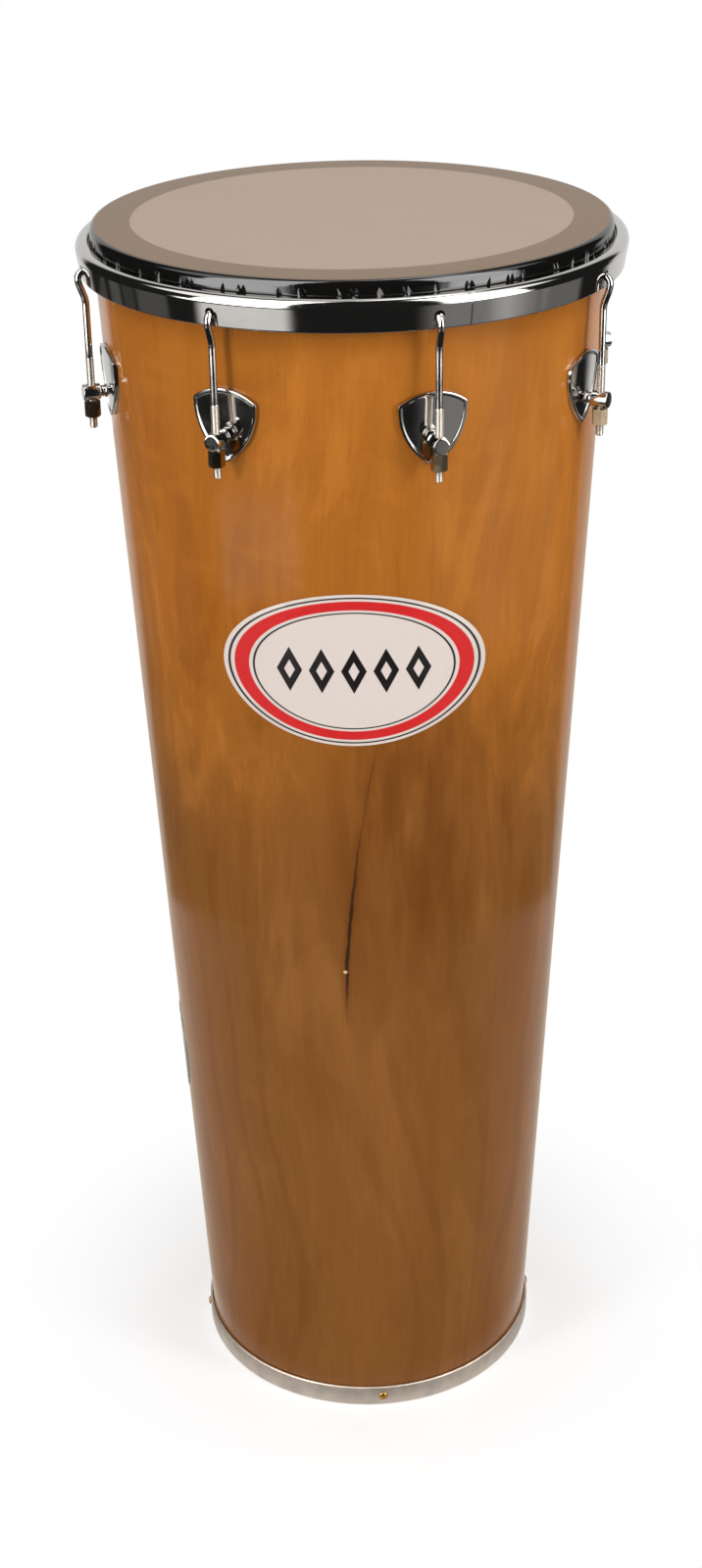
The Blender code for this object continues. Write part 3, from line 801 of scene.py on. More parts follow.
    def _streaked(self, graph: Graph, unrolled: Node, colour: Socket) -> Socket:
        """Return the wood's colour with the dark mineral streak in it.

        Args:
            graph: The material's writer.
            unrolled: The unrolled place.
            colour: The wood without it.

        Returns:
            The wood with it.
        """
        height, angle = unrolled.outputs["Height"], unrolled.outputs["Angle"]
        lean = graph.math("POWER", graph.remap(height, *self.streak_run, smooth=False), 1.75)
        wander = graph.noise(graph.combine(0.0, 0.0, height), 34.0, 3.0)
        middle = graph.plus(graph.scaled(lean, self.streak_lean, self.streak_start), graph.times(wander, 1.6))
        ragged = graph.noise(graph.stretch(angle, 1.3, height, 170.0, 3.0), 1.0, 3.0, 0.7)
        torn = graph.sway(graph.size(graph.minus(angle, middle)), ragged, 0.45)
        heart = graph.between(height, *self.streak_heart)
        ends = graph.between(height, *self.streak_ends)
        swell = graph.noise(graph.combine(2.0, 0.0, height), 60.0, 2.0)
        width = graph.times(graph.scaled(swell, 0.30, 0.04), graph.scaled(heart, 1.3, 0.8))
        line = graph.remap(graph.over(torn, width), 0.5, 1.8, 1.0, 0.0)
        depth = graph.times(ends, graph.scaled(heart, 0.56, 0.36))
        cloud = graph.noise(graph.stretch(angle, 0.11, height, 7.0, 7.0), 1.0, 3.0, 0.6)
        stained = graph.times(graph.between(angle, *self.stain_turns),
                              graph.between(height, *self.stain_heights))
        stain = graph.times(stained, graph.remap(cloud, 0.34, 0.62, 0.15, 0.75))
        colour = graph.mix(stain, colour, self.low_dark)
        halo = graph.times(graph.remap(torn, 0.1, 2.2, 0.60, 0.0), graph.scaled(heart, 0.6, 0.4))
        colour = graph.mix(graph.times(halo, ends), colour, self.low_dark)
        colour = graph.mix(graph.times(line, depth), colour, self.streak)
        up = graph.over(graph.minus(height, self.pinhole_height), self.pinhole_half_height)
        across = graph.over(graph.minus(angle, self.pinhole_angle), self.pinhole_half_turn)
        spot = graph.plus(graph.times(up, up), graph.times(across, across))
        return graph.mix(graph.remap(spot, 0.4, 1.2, 0.9, 0.0), colour, self.pinhole)


@dataclass(frozen=True)
class BareVeneer(Finish):
    """Unfinished plywood, as it is inside the shell."""

    light: Colour = tone(214, 176, 124)
    dark: Colour = tone(170, 126, 78)
    grain_depth: float = 0.0001

    def build(self) -> Material:
        """Return the bare wood."""
        material, graph, shader = self.start()
        unrolled = self.unrolled(graph)
        grain = graph.effect(self.effects.veneer(), Arc=unrolled.outputs["Arc"],
                             Height=unrolled.outputs["Height"])
        shade = graph.scaled(grain.outputs["Figure"], 0.3, grain.outputs["Mottle"])
        colour = graph.mix(graph.remap(shade, 0.35, 1.0), self.light, self.dark)
        fibres = graph.remap(grain.outputs["Fibre"], 0.35, 0.7, 0.82, 1.08, smooth=False)
        graph.feed(shader.inputs["Base Color"], graph.shaded(colour, fibres))
        graph.feed(shader.inputs["Roughness"], graph.remap(grain.outputs["Pores"], 0.3, 0.7, 0.62, 0.8))
        graph.feed(shader.inputs["Normal"], graph.bump(grain.outputs["Fibre"], self.grain_depth))
        return material


@dataclass(frozen=True)
class DrumFilm(Finish):
    """Polyester film: a lighter coated disc, a plain margin, and a glossy dark collar.

    Each row of folds has the angle that it starts from, the seed of its random draws, and its depth.
    """

    disc: Colour = tone(163, 142, 126)
    margin: Colour = tone(114, 90, 65)
    collar: Colour = tone(14, 13, 12)
    disc_radius: float = 0.1495
    collar_radius: float = 0.1738
    film_ior: float = 1.68
    coat_roughness: float = 0.10
    plain_roughness: float = 0.40
    collar_roughness: float = 0.04
    grit_depth: float = 0.00003
    fold_rows: tuple[tuple[float, float, float], ...] = ((0.0, 3.0, 1.0), (1.05, 3.0, 0.8), (6.3, 8.0, 0.55))
    fold_step: float = 11.2
    fold_foot: float = 0.9068
    fold_top: float = 0.9133
    fold_depth: float = 0.026
    crease: float = 0.0022

    def build(self) -> Material:
        """Return the film."""
        material, graph, shader = self.start()
        place = graph.place()
        unrolled = self.unrolled(graph)
        radius = unrolled.outputs["Radius"]
        grit = graph.noise(place, 900.0, 3.0, 0.7)
        cloud = graph.noise(place, 22.0, 3.0, 0.5)
        speck = graph.scaled(cloud, 0.08, graph.remap(grit, 0.3, 0.7, 0.89, 1.03, smooth=False))
        inside = graph.edge(radius, self.disc_radius, 0.0003, rising=False)
        top = graph.mix(inside, self.margin, graph.shaded(self.disc, speck))
        turned = graph.remap(radius, self.collar_radius - 0.0004, self.collar_radius + 0.0006)
        graph.feed(shader.inputs["Base Color"], graph.mix(turned, top, self.collar))
        coated = graph.scaled(inside, self.coat_roughness, self.plain_roughness)
        flat = graph.minus(1.0, turned)
        graph.feed(shader.inputs["Roughness"], graph.scaled(flat, coated, self.collar_roughness))
        gritty = graph.bump(graph.times(grit, flat), self.grit_depth)
        folds = graph.times(self._folds(graph, unrolled), turned)
        graph.feed(shader.inputs["Normal"], graph.bump(folds, self.fold_depth, gritty))
        shader.inputs["IOR"].default_value = self.film_ior
        return material

    def _folds(self, graph: Graph, unrolled: Node) -> Socket:
        """Return the depth of the leaf-shaped folds that the glossy collar is gathered in.

        Args:
            graph: The material's writer.
            unrolled: The unrolled place.

        Returns:
            A height that falls in the folds.
        """
        angle, height = unrolled.outputs["Angle"], unrolled.outputs["Height"]
        rise = graph.remap(height, self.fold_foot, self.fold_top, smooth=False)
        leaf = graph.times(graph.math("POWER", rise, 0.5), graph.minus(1.0, rise))
        total: Value = 0.0
        for start, seed, deep in self.fold_rows:
            turn = graph.over(graph.minus(angle, start), self.fold_step)
            cell = graph.math("FLOOR", turn)
            chance = graph.node("ShaderNodeTexWhiteNoise", noise_dimensions="2D")
            graph.feed(chance.inputs["Vector"], graph.combine(cell, seed, 0.0))
            red, green, blue = graph.separate(chance.outputs["Color"])
            middle = graph.scaled(red, 0.5, 0.25)
            lean = graph.times(graph.minus(green, 0.5), graph.times(rise, 0.10))
            off = graph.minus(graph.minus(turn, cell), graph.plus(middle, lean))
            width = graph.times(leaf, graph.scaled(blue, 0.06, 0.09))
            inside = graph.math("MAXIMUM", graph.minus(width, graph.size(off)), 0.0)
            dent = graph.times(inside, graph.times(graph.scaled(green, 0.5, 0.7), deep))
            total = graph.math("MAXIMUM", total, dent)
        creases = graph.noise(graph.stretch(angle, 0.8, height, 90.0, 0.0), 1.0, 2.0)
        return graph.minus(graph.times(creases, self.crease), total)


@dataclass(frozen=True)
class BrushedSteel(Finish):
    """Satin steel strip, brushed round the drum, with scuffs."""

    colour: Colour = tone(226, 211, 197)
    roughness: float = 0.48
    brush_depth: float = 0.00001

    def build(self) -> Material:
        """Return the satin metal."""
        material, graph, shader = self.start()
        place = graph.place()
        unrolled = self.unrolled(graph).outputs
        brushed = graph.stretch(unrolled["Arc"], 25.0, unrolled["Height"], 2600.0, unrolled["Radius"])
        lines = graph.noise(brushed, 1.0, 2.0)
        worn = graph.effect(self.effects.handling(), Place=place, Scale=0.8)
        tint = graph.remap(graph.noise(place, 60.0, 4.0, 0.6), 0.3, 0.75, 1.0, 0.78)
        graph.feed(shader.inputs["Base Color"], graph.shaded(self.colour, tint))
        rough = graph.scaled(lines, 0.14, self.roughness - 0.07)
        rough = graph.scaled(worn.outputs["Smudge"], 0.12, rough)
        graph.feed(shader.inputs["Roughness"], rough)
        scored = graph.scaled(worn.outputs["Scratch"], -1.5, lines)
        graph.feed(shader.inputs["Normal"], graph.bump(scored, self.brush_depth))
        shader.inputs["Metallic"].default_value = 1.0
        return material


@dataclass(frozen=True)
class BadgePrint(Finish):
    """The oval badge's print: red border bands, black lines and a row of lozenges on white.

    The band and the lines are given as shares of the badge's own outline.
    """

    half_width: float
    half_height: float
    white: Colour = tone(200, 188, 180)
    red: Colour = tone(190, 16, 18)
    black: Colour = tone(22, 19, 18)
    band: Span = (0.80, 0.915)
    lines: tuple[Span, ...] = ((0.945, 0.965), (0.755, 0.772))
    edge_soft: float = 0.004
    lozenge_pitch: float = 0.0215
    lozenge_half_width: float = 0.40
    lozenge_half_height: float = 0.0165
    lozenge_line: tuple[Span, Span] = ((0.40, 0.44), (0.98, 1.02))
    row_half_length: float = 2.5
    foil_depth: float = 0.00002

    def build(self) -> Material:
        """Return the printed foil."""
        material, graph, shader = self.start()
        place = graph.place()
        out = graph.oval(place, self.half_width, self.half_height)

        def ring(inner: float, outer: float) -> Socket:
            """Return a mask between two ovals."""
            return graph.times(graph.edge(out, inner, self.edge_soft),
                               graph.edge(out, outer, self.edge_soft, rising=False))

        colour = graph.mix(ring(*self.band), self.white, self.red)
        for line in self.lines:
            colour = graph.mix(ring(*line), colour, self.black)
        colour = graph.mix(self._lozenges(graph, place), colour, self.black)
        graph.feed(shader.inputs["Base Color"], colour)
        worn = graph.effect(self.effects.handling(), Place=place, Scale=1.0)
        graph.feed(shader.inputs["Roughness"], graph.scaled(worn.outputs["Smudge"], 0.15, 0.34))
        graph.feed(shader.inputs["Normal"], graph.bump(graph.noise(place, 260.0, 2.0), self.foil_depth))
        return material

    def _lozenges(self, graph: Graph, place: Socket) -> Socket:
        """Return a mask of the row of hollow lozenges across the badge's middle."""
        x, y, _ = graph.separate(place)
        in_row = graph.over(x, self.lozenge_pitch)
        cell = graph.minus(graph.math("FRACT", graph.plus(in_row, 0.5)), 0.5)
        out = graph.plus(graph.over(graph.size(cell), self.lozenge_half_width),
                         graph.over(graph.size(y), self.lozenge_half_height))
        reach = graph.edge(graph.size(in_row), self.row_half_length, 0.01, rising=False)
        return graph.times(graph.between(out, *self.lozenge_line), reach)


@dataclass(frozen=True)
class SealFoil(Finish):
    """The small oval seal's metallised foil: a plain border line on grey-green silver.

    The border and the centre are given as shares of the seal's own outline.
    """

    half_width: float
    half_height: float
    silver: Colour = tone(196, 202, 192)
    green: Colour = tone(92, 118, 84)
    border: tuple[Span, Span] = ((0.80, 0.82), (0.90, 0.92))
    centre: Span = (0.42, 0.44)
    metallic: float = 0.55
    crinkle_depth: float = 0.00004

    def build(self) -> Material:
        """Return the foil."""
        material, graph, shader = self.start()
        place = graph.place()
        out = graph.oval(place, self.half_width, self.half_height)
        centre = graph.remap(out, *self.centre, 1.0, 0.0)
        mask = graph.math("MAXIMUM", graph.between(out, *self.border), centre)
        graph.feed(shader.inputs["Base Color"], graph.mix(mask, self.silver, self.green))
        crinkle = graph.noise(place, 420.0, 3.0, 0.6)
        graph.feed(shader.inputs["Roughness"], graph.remap(crinkle, 0.3, 0.7, 0.22, 0.4))
        graph.feed(shader.inputs["Normal"], graph.bump(crinkle, self.crinkle_depth))
        shader.inputs["Metallic"].default_value = self.metallic
        return material


# The drum's sub-assemblies

@dataclass
class WoodenBody:
    """The conical shell, the two rings glued inside it, the foot ring and its screws."""

    layout: Layout
    steps: int = 256
    rows: int = 24
    foot_wall: float = 0.0022
    foot_height: float = 0.0175
    foot_width: float = 0.0106
    foot_corner: float = 0.0015
    stiffener_wall: float = 0.006
    stiffener_height: float = 0.030
    screw_count: int = 4
    screw_turn: float = math.radians(-79.6)
    screw_height: float = 0.0092
    screw_head: float = 0.0035
    screw_rise: float = 0.0016
    screw_slot: float = 0.0009
    screw_bite: float = 0.0060
    screw_shank: float = 0.0017
    screw_tip: float = 0.0015

    @property
    def base(self) -> float:
        """The height of the shell's lower end."""
        return self.foot_wall + self.layout.gap

    def shell_mesh(self) -> Mesh:
        """Return the shell, varnished outside (slot 0) and bare inside (slot 1)."""
        place = self.layout
        middle = place.edge_centre[1]
        edge = arc(place.edge_centre, place.edge_round, 90.0, 0.0, 10)
        inner_top = place.bearing_edge - (place.wall - place.edge_round)
        heights = [lerp(middle, self.base, k / self.rows) for k in range(1, self.rows + 1)]
        profile = edge + [(place.shell_radius(height), height) for height in heights]
        profile.append((place.shell_radius(self.base) - place.wall, self.base))
        profile.append((place.shell_radius(inner_top) - place.wall, inner_top))
        slots = [0] * (len(edge) - 1 + self.rows) + [1, 1, 1]
        return lathe("shell", profile, self.steps, slots)

    def stiffener_mesh(self, low: float) -> Mesh:
        """Return a ring glued inside the shell, from a height up, with its edges eased."""
        place = self.layout
        high = low + self.stiffener_height
        outer = -place.wall - place.gap
        inner = outer - self.stiffener_wall
        soft = 0.0012
        profile = [
            (place.shell_radius(high) + outer, high),
            (place.shell_radius(low) + outer, low),
            (place.shell_radius(low) + inner + soft, low),
            (place.shell_radius(low) + inner, low + soft),
            (place.shell_radius(high) + inner, high - soft),
            (place.shell_radius(high) + inner + soft, high),
        ]
        return lathe("stiffener", profile, self.steps)

    def foot_mesh(self) -> Mesh:
        """Return the metal foot ring, with its lip and lower corner rolled."""
        place = self.layout
        outer = place.shell_radius(self.foot_height) + place.gap + self.foot_wall
        wall_low = place.shell_radius(self.base) + place.gap
        wall_high = place.shell_radius(self.foot_height) + place.gap
        half = self.foot_wall / 2.0
        flange = outer - self.foot_width
        lip = arc((wall_high + half, self.foot_height - half), half, 180.0, 0.0, 10)
        corner = arc((outer - self.foot_corner, self.foot_corner), self.foot_corner, 0.0, -90.0, 6)
        inside = [(flange, 0.0), (flange, self.foot_wall), (wall_low, self.foot_wall)]
        return lathe("foot_ring", lip + corner + inside, self.steps)

    def screw_mesh(self) -> Mesh:
        """Return a slotted round-head wood screw about local Z."""
        length = self.foot_wall + 2.0 * self.layout.gap + self.screw_bite
        head = [(self.screw_head * math.sin(a), self.screw_rise * (0.12 + 0.88 * math.cos(a)))
                for a in (math.radians(90.0 * k / 10) for k in range(11))]
        shank = [(self.screw_head, 0.0), (self.screw_shank, 0.0), (self.screw_shank, self.screw_tip - length),
                 (0.0, -length)]
        body = lathe("foot_screw", head + shank, 48)
        slot = bpy.data.meshes.new("slot")
        box = bmesh.new()
        bmesh.ops.create_cube(box, size=1.0)
        bmesh.ops.scale(box, vec=(0.02, self.screw_slot, self.screw_rise), verts=box.verts)
        box.to_mesh(slot)
        box.free()
        return carve(body, slot, [Matrix.Translation((0.0, 0.0, self.screw_rise))])

    def build(self, varnish: Material, bare: Material, steel: Material, brass: Material) -> None:
        """Put the shell, its rings, the foot and its screws on the drum.

        Args:
            varnish: The shell's outside.
            bare: The shell's inside and the glued rings.
            steel: The foot ring.
            brass: The screws.
        """
        here = Matrix.Identity(4)
        show("shell_fine", self.shell_mesh(), [varnish, bare], here, Body.DRUM,
             ["shell"])
        upper = self.layout.edge_centre[1] - self.stiffener_height - 2.0 * self.layout.gap
        for name, low in (("lower_stiffener", self.base), ("upper_stiffener", upper)):
            show(f"{name}_fine", self.stiffener_mesh(low), [bare], here, Body.DRUM, [name])
        show("foot_ring_fine", self.foot_mesh(), [steel], here, Body.DRUM, ["foot_ring"])
        face = self.layout.shell_radius(self.foot_height) + self.foot_wall + 2.0 * self.layout.gap
        screw = self.screw_mesh()
        for k in range(self.screw_count):
            angle = self.screw_turn + 2.0 * math.pi / self.screw_count * k
            turned = on_wall(angle, face, self.screw_height) @ Matrix.Rotation(0.5 + 0.9 * k, 4, "Z")
            name = f"foot_screw_{k + 1}"
            show(f"{name}_fine", screw, [brass], turned, Body.DRUM, [name])


@dataclass
class Drumhead:
    """The film, with its pleated collar, and the flesh hoop that grips it."""

    layout: Layout
    skirt: float = 0.015
    blend_top: float = 0.0058
    blend_bottom: float = 0.001
    steps: int = 360
    flesh_height: float = 0.0061
    flesh_width: float = 0.0058

    @property
    def radius(self) -> float:
        """The film's outer radius."""
        return self.layout.shell_radius(self.layout.edge_centre[1]) + self.layout.gap + self.layout.film

    def film_profile(self) -> Profile:
        """Return the film's profile, from its middle over the bearing edge and back along its lining."""
        place = self.layout
        centre = place.edge_centre
        outside = arc(centre, place.edge_round + place.gap + place.film, 90.0, 0.0, 12)
        inside = arc(centre, place.edge_round + place.gap, 0.0, 90.0, 8)
        rings = [(centre[0] * k / 8.0, place.height) for k in range(8)]
        low = place.height - self.skirt
        collar = [(self.radius, lerp(outside[-1][1], low, k / 6)) for k in range(1, 7)]
        lining = [(r - place.film, z) for r, z in reversed(collar)]
        return rings + outside + collar + lining + inside + [(0.0, place.height - place.film)]

    def flesh_mesh(self) -> Mesh:
        """Return the flesh hoop, with its corners rounded."""
        inner = self.radius + self.layout.gap + 0.0001
        outer = inner + self.flesh_width
        top = self.layout.hoop_top - self.layout.hoop_wall - self.layout.gap
        low = top - self.flesh_height
        soft = 0.0016
        profile = arc((outer - soft, top - soft), soft, 90.0, 0.0, 6)
        profile += arc((outer - 0.0006, low + 0.0006), 0.0006, 0.0, -90.0, 3)
        profile += [(inner, low), (inner, top)]
        return lathe("flesh_hoop", profile, 256)

    def build(self, film: Material, alloy: Material) -> None:
        """Put the head on the drum.

        Args:
            film: The film's finish.
            alloy: The flesh hoop's finish.
        """
        mesh = lathe("head_film", self.film_profile(), self.steps)
        piece = placed("head_film_fine", mesh)
        mesh.materials.append(film)
        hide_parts("head_film")
        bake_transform(piece)
        LOG.info("head_film_fine bends between the drum and the hoop, %d faces", len(mesh.polygons))
        show("flesh_hoop_fine", self.flesh_mesh(), [alloy], Matrix.Identity(4), Body.TUNING_SET,
             ["flesh_hoop"])


@dataclass
class CounterHoop:
    """The chromed hoop, a tapered band whose top turns in over the flesh hoop."""

    layout: Layout
    height: float = 0.0213
    outer: float = 0.18695
    lip: float = 0.17816
    shoulder: float = 0.005
    shoulder_drop: float = 0.0056
    taper: float = 0.0022
    hole: float = 0.0034
    hole_height: float = 0.8958
    steps: int = 360

    def mesh(self) -> Mesh:
        """Return the hoop, with a hole for each hook."""
        top, wall = self.layout.hoop_top, self.layout.hoop_wall
        centre = (self.outer - self.shoulder, top - self.shoulder)
        base = top - self.height
        soft = 0.0009
        low = self.outer - self.taper
        drop = top - self.shoulder_drop
        profile = [(centre[0] + self.shoulder * math.cos(a), drop + self.shoulder_drop * math.sin(a))
                   for a in (math.radians(92.0 - 92.0 * k / 18) for k in range(19))]
        profile += [(lerp(self.outer, low, share), lerp(drop, base + soft, share))
                    for share in (0.05, 0.2, 0.4, 0.6, 0.8, 0.95)]
        profile += arc((low - soft, base + soft), soft, 0.0, -90.0, 4)
        profile += arc((low - wall + soft, base + soft), soft, -90.0, -180.0, 4)
        profile += arc(centre, self.shoulder - wall, 0.0, 90.0, 8)
        half = wall / 2.0
        profile += arc((self.lip + half, top - half), half, 270.0, 90.0, 8)
        hoop = lathe("counter_hoop", profile, self.steps)
        return carve(hoop, rod_mesh(self.hole, 0.016, 40),
                     [on_wall(angle, self.outer, self.hole_height) for angle in self.layout.lug_angles])

    def build(self, chrome: Material) -> None:
        """Put the hoop on the drum, in chrome."""
        show("counter_hoop_fine", self.mesh(), [chrome], Matrix.Identity(4), Body.TUNING_SET,
             ["counter_hoop"])


@dataclass
class TuningHardware:
    """The eight sets of hook, tuning nut, post, shield plate and inner nut."""

    layout: Layout
    wire: float = 0.0048
    thread: float = 0.0054
    thread_root: float = 0.0044
    pitch: float = 0.0254 / 24.0
    thread_length: float = 0.049
    thread_start: float = 0.0009
    thread_fade: float = 0.0016
    rod_base: float = 0.7883
    bend: float = 0.0049
    bend_radius: float = 0.18427
    bend_height: float = 0.8906
    tail: float = 0.0022
    jog: float = 0.017
    barrel: float = 0.0055
    barrel_reach: float = 0.006
    barrel_length: float = 0.0116
    neck: float = 0.0037
    collar: float = 0.0046
    collar_width: float = 0.0014
    bore: float = 0.00305
    nut_flats: float = 0.0095
    nut_height: float = 0.0113
    plate_half_width: float = 0.0229
    plate_corner: float = 0.0233
    plate_arch: float = 0.0081
    plate_depth: float = 0.0412
    plate_bulge: float = 0.0070
    plate_thickness: float = 0.0026
    plate_recess: float = 0.0008
    stud: float = 0.003
    inner_flats: float = 0.010
    inner_height: float = 0.005
    washer: float = 0.0075
    washer_thickness: float = 0.0014
    face_share: float = 0.94
    chamfer_angle: float = math.radians(32.0)

    def hook_path(self) -> tuple[list[Point], list[float]]:
        """Return a hook's middle line from its threaded end up, and how far up its thread each point is.

        Returns:
            Points of (outward, up) from the post's middle, and the length of thread below each point.
        """
        low = self.rod_base - self.layout.post_height
        thread_end = low + self.thread_length
        bend_out = self.bend_radius - self.layout.rod_radius
        bend_up = self.bend_height - self.layout.post_height
        row = self.pitch / 8.0
        points: list[Point] = [(0.0, low + row * k) for k in range(int(self.thread_length / row) + 1)]
        threads = [point[1] - low for point in points]
        reach = bend_out + self.bend
        start = bend_up - self.jog
        points += [(0.0, lerp(thread_end, start, k / 6)) for k in range(1, 6)]
        points += [(reach * ease(k / 24), start + self.jog * k / 24) for k in range(25)]
        points += arc((bend_out, bend_up), self.bend, 0.0, 180.0, 28)[1:]
        points += [(bend_out - self.bend, bend_up - self.tail * k / 4) for k in range(1, 5)]
        threads += [self.thread_length + 1.0] * (len(points) - len(threads))
        return points, threads

    def hook_mesh(self) -> Mesh:
        """Return a hook: a bent wire with a cut thread and a domed tip."""
        points, threads = self.hook_path()
        last = len(points) - 1

        def radius(number: int, angle: float) -> float:
            """Return the wire's radius at a point and an angle round it."""
            up = threads[number]
            if up > self.thread_length:
                near_end = min((last - number) / 3.0, 1.0)
                return self.wire / 2.0 * math.sqrt(max(0.0, 1.0 - (1.0 - near_end) ** 2 * 0.75))
            turn = (up / self.pitch - angle / (2.0 * math.pi)) % 1.0
            crest = 1.0 - abs(2.0 * turn - 1.0)
            shape = min(max((crest - 0.12) / 0.7, 0.0), 1.0)
            full = lerp(self.thread_root, self.thread, shape) / 2.0
            run_in = min(up / self.thread_start, 1.0)
            run_out = ease((up - self.thread_length + self.thread_fade) / self.thread_fade)
            full = lerp(full, self.wire / 2.0, run_out)
            return min(full, lerp(self.thread_root / 2.0 - 0.0004, self.thread / 2.0, run_in))

        return tube("hook", points, radius, 24)

    def hexagon(self, flats: float, angle: float) -> float:
        """Return how far a hexagon's side is from its middle, at an angle."""
        sector = math.radians(60.0)
        return flats / 2.0 / math.cos((angle + sector / 2.0) % sector - sector / 2.0)

    def chamfer(self, reach: float, across: float) -> float:
        """Return how far a hexagon's corners are cut back at its ends, for a reach from its middle."""
        return (reach - across * self.face_share) * math.tan(self.chamfer_angle)

    def nut_mesh(self) -> Mesh:
        """Return a long hexagon nut, chamfered at both ends."""
        half = self.nut_height / 2.0
        across = self.nut_flats / 2.0

        def profile(angle: float) -> Profile:
            """Return the nut's outline at an angle."""
            reach = self.hexagon(self.nut_flats, angle + math.radians(30.0))
            drop = self.chamfer(reach, across)
            face, mouth = across * self.face_share, self.bore + 0.0005
            return [(mouth, half), (face, half), (reach, half - drop), (reach, drop - half), (face, -half),
                    (mouth, -half), (self.bore, 0.0005 - half), (self.bore, half - 0.0005)]

        return lathe("tuning_nut", profile, 96)

    def post_mesh(self) -> Mesh:
        """Return a post: a drilled barrel, a ringed neck, and its stud, with local Z outward."""
        place = self.layout
        shell = place.shell_radius(place.post_height)
        face = shell + 2.0 * place.gap + self.plate_thickness
        base = face + self.collar * place.slope - place.rod_radius
        end, start = self.barrel_reach, self.barrel_reach - self.barrel_length
        inner_face = shell - place.wall - place.gap - place.slope * self.washer
        stud_end = inner_face - self.inner_height - 0.002 - place.rod_radius
        soft, corner, ring_step = 0.0006, 0.0005, 0.0018
        profile: list[Point] = [(0.0, end), (self.barrel - 2.0 * soft, end)]
        profile += arc((self.barrel - soft, end - soft), soft, 80.0, 0.0, 5)
        profile += arc((self.barrel - soft, start + soft), soft, 0.0, -90.0, 5)
        profile += arc((self.neck + soft, start - soft), soft, 90.0, 180.0, 4)
        ridge = base + self.collar_width
        for middle in (ridge + 2.0 * ring_step, ridge + ring_step):
            profile += [(self.neck, middle + soft)]
            profile += arc((self.neck, middle), soft / 2.0, 70.0, -70.0, 4)
        profile += [(self.neck, ridge + 0.0004)]
        profile += arc((self.collar - corner, ridge - corner), corner, 90.0, 0.0, 4)
        profile += [(self.collar, base), (self.stud, base), (self.stud, stud_end + corner),
                    (self.stud - corner, stud_end), (0.0, stud_end)]
        drilled = Matrix.Rotation(math.pi / 2.0, 4, "X")
        return carve(lathe("post", profile, 64), rod_mesh(self.bore, 0.03), [drilled])

    def shield_outline(self) -> np.ndarray:
        """Return the plate's outline in local (x, y), anticlockwise, with its corners rounded."""
        left = (-self.plate_half_width, self.plate_corner)
        right = (self.plate_half_width, self.plate_corner)
        tip = (0.0, self.plate_corner - self.plate_depth)

        def bulged(start: Point, end: Point, bulge: float, count: int) -> list[Point]:
            """Return points on an arc that stands a bulge off its chord, on the right."""
            chord = math.dist(start, end)
            radius = (chord * chord / 4.0 + bulge * bulge) / (2.0 * bulge)
            along = ((end[0] - start[0]) / chord, (end[1] - start[1]) / chord)
            points = []
            for i in range(count):
                run = chord * i / count
                rise = math.sqrt(radius ** 2 - (run - chord / 2.0) ** 2) - (radius - bulge)
                points.append((start[0] + along[0] * run + along[1] * rise,
                               start[1] + along[1] * run - along[0] * rise))
            return points

        sides = bulged(left, tip, self.plate_bulge, 20) + bulged(tip, right, self.plate_bulge, 20)
        outline = np.array(sides + bulged(right, left, self.plate_arch, 22))
        for _ in range(3):
            after = np.roll(outline, -1, axis=0)
            cut = np.empty((len(outline) * 2, 2))
            cut[0::2] = outline * 0.75 + after * 0.25
            cut[1::2] = outline * 0.25 + after * 0.75
            outline = cut if len(cut) < 300 else cut[::2]
        return outline

    def plate_mesh(self) -> Mesh:
        """Return a shield plate, bent round the shell, with a raised rim and a sunk field."""
        outline = self.shield_outline()
        before, after = np.roll(outline, 1, axis=0), np.roll(outline, -1, axis=0)
        along = after - before
        along /= np.linalg.norm(along, axis=1)[:, None]
        inward = np.stack([-along[:, 1], along[:, 0]], axis=1)
        full = self.plate_thickness
        field_level = full - self.plate_recess
        rim = [(0.0, 0.0), (0.0, full - 0.0004), (0.00012, full - 0.00012), (0.0004, full),
               (0.0008, full), (0.0018, full), (0.0021, full - 0.0001), (0.0022, full - 0.0003),
               (0.0023, field_level + 0.0001), (0.0026, field_level)]
        rings = [(outline + inward * step, rise) for step, rise in rim]
        field_edge = outline + inward * 0.0034
        middle = np.array([0.0, 0.004])
        for share in (1.0, 0.86, 0.7, 0.52, 0.34, 0.16, 0.0):
            rings.append((middle + (field_edge - middle) * share, field_level))
        rings += [(middle + (outline - middle) * share, 0.0) for share in (0.0, 0.3, 0.6, 0.85)]
        vertices = [self._on_cone(x, y, rise) for ring, rise in rings for x, y in ring]
        count = len(outline)
        return finished_mesh("lug_plate", np.array(vertices), row_faces(len(rings), count, count))

    def _on_cone(self, x: float, y: float, rise: float) -> tuple[float, float, float]:
        """Return a plate's local point laid on the shell's cone, in the axes of its place on the wall."""
        place = self.layout
        seat = place.shell_radius(place.post_height)
        radius = place.shell_radius(place.post_height + y) + place.gap + rise
        return x, y, math.sqrt(radius * radius - x * x) - seat

    def inner_nut_mesh(self) -> Mesh:
        """Return the washer-faced nut inside the shell, with local Z outward and its washer on top."""
        half = self.inner_height / 2.0
        across = self.inner_flats / 2.0
        bore = self.stud + 0.00035

        def profile(angle: float) -> Profile:
            """Return the nut's outline at an angle."""
            reach = self.hexagon(self.inner_flats, angle)
            drop = self.chamfer(reach, across)
            seat = half - self.washer_thickness
            return [(bore, half), (self.washer - 0.0003, half), (self.washer, half - 0.0003),
                    (self.washer, seat + 0.0002), (self.washer - 0.0004, seat), (reach, seat),
                    (reach, drop - half), (across * self.face_share, -half), (bore + 0.0004, -half),
                    (bore, 0.0004 - half)]

        return lathe("inner_nut", profile, 96)

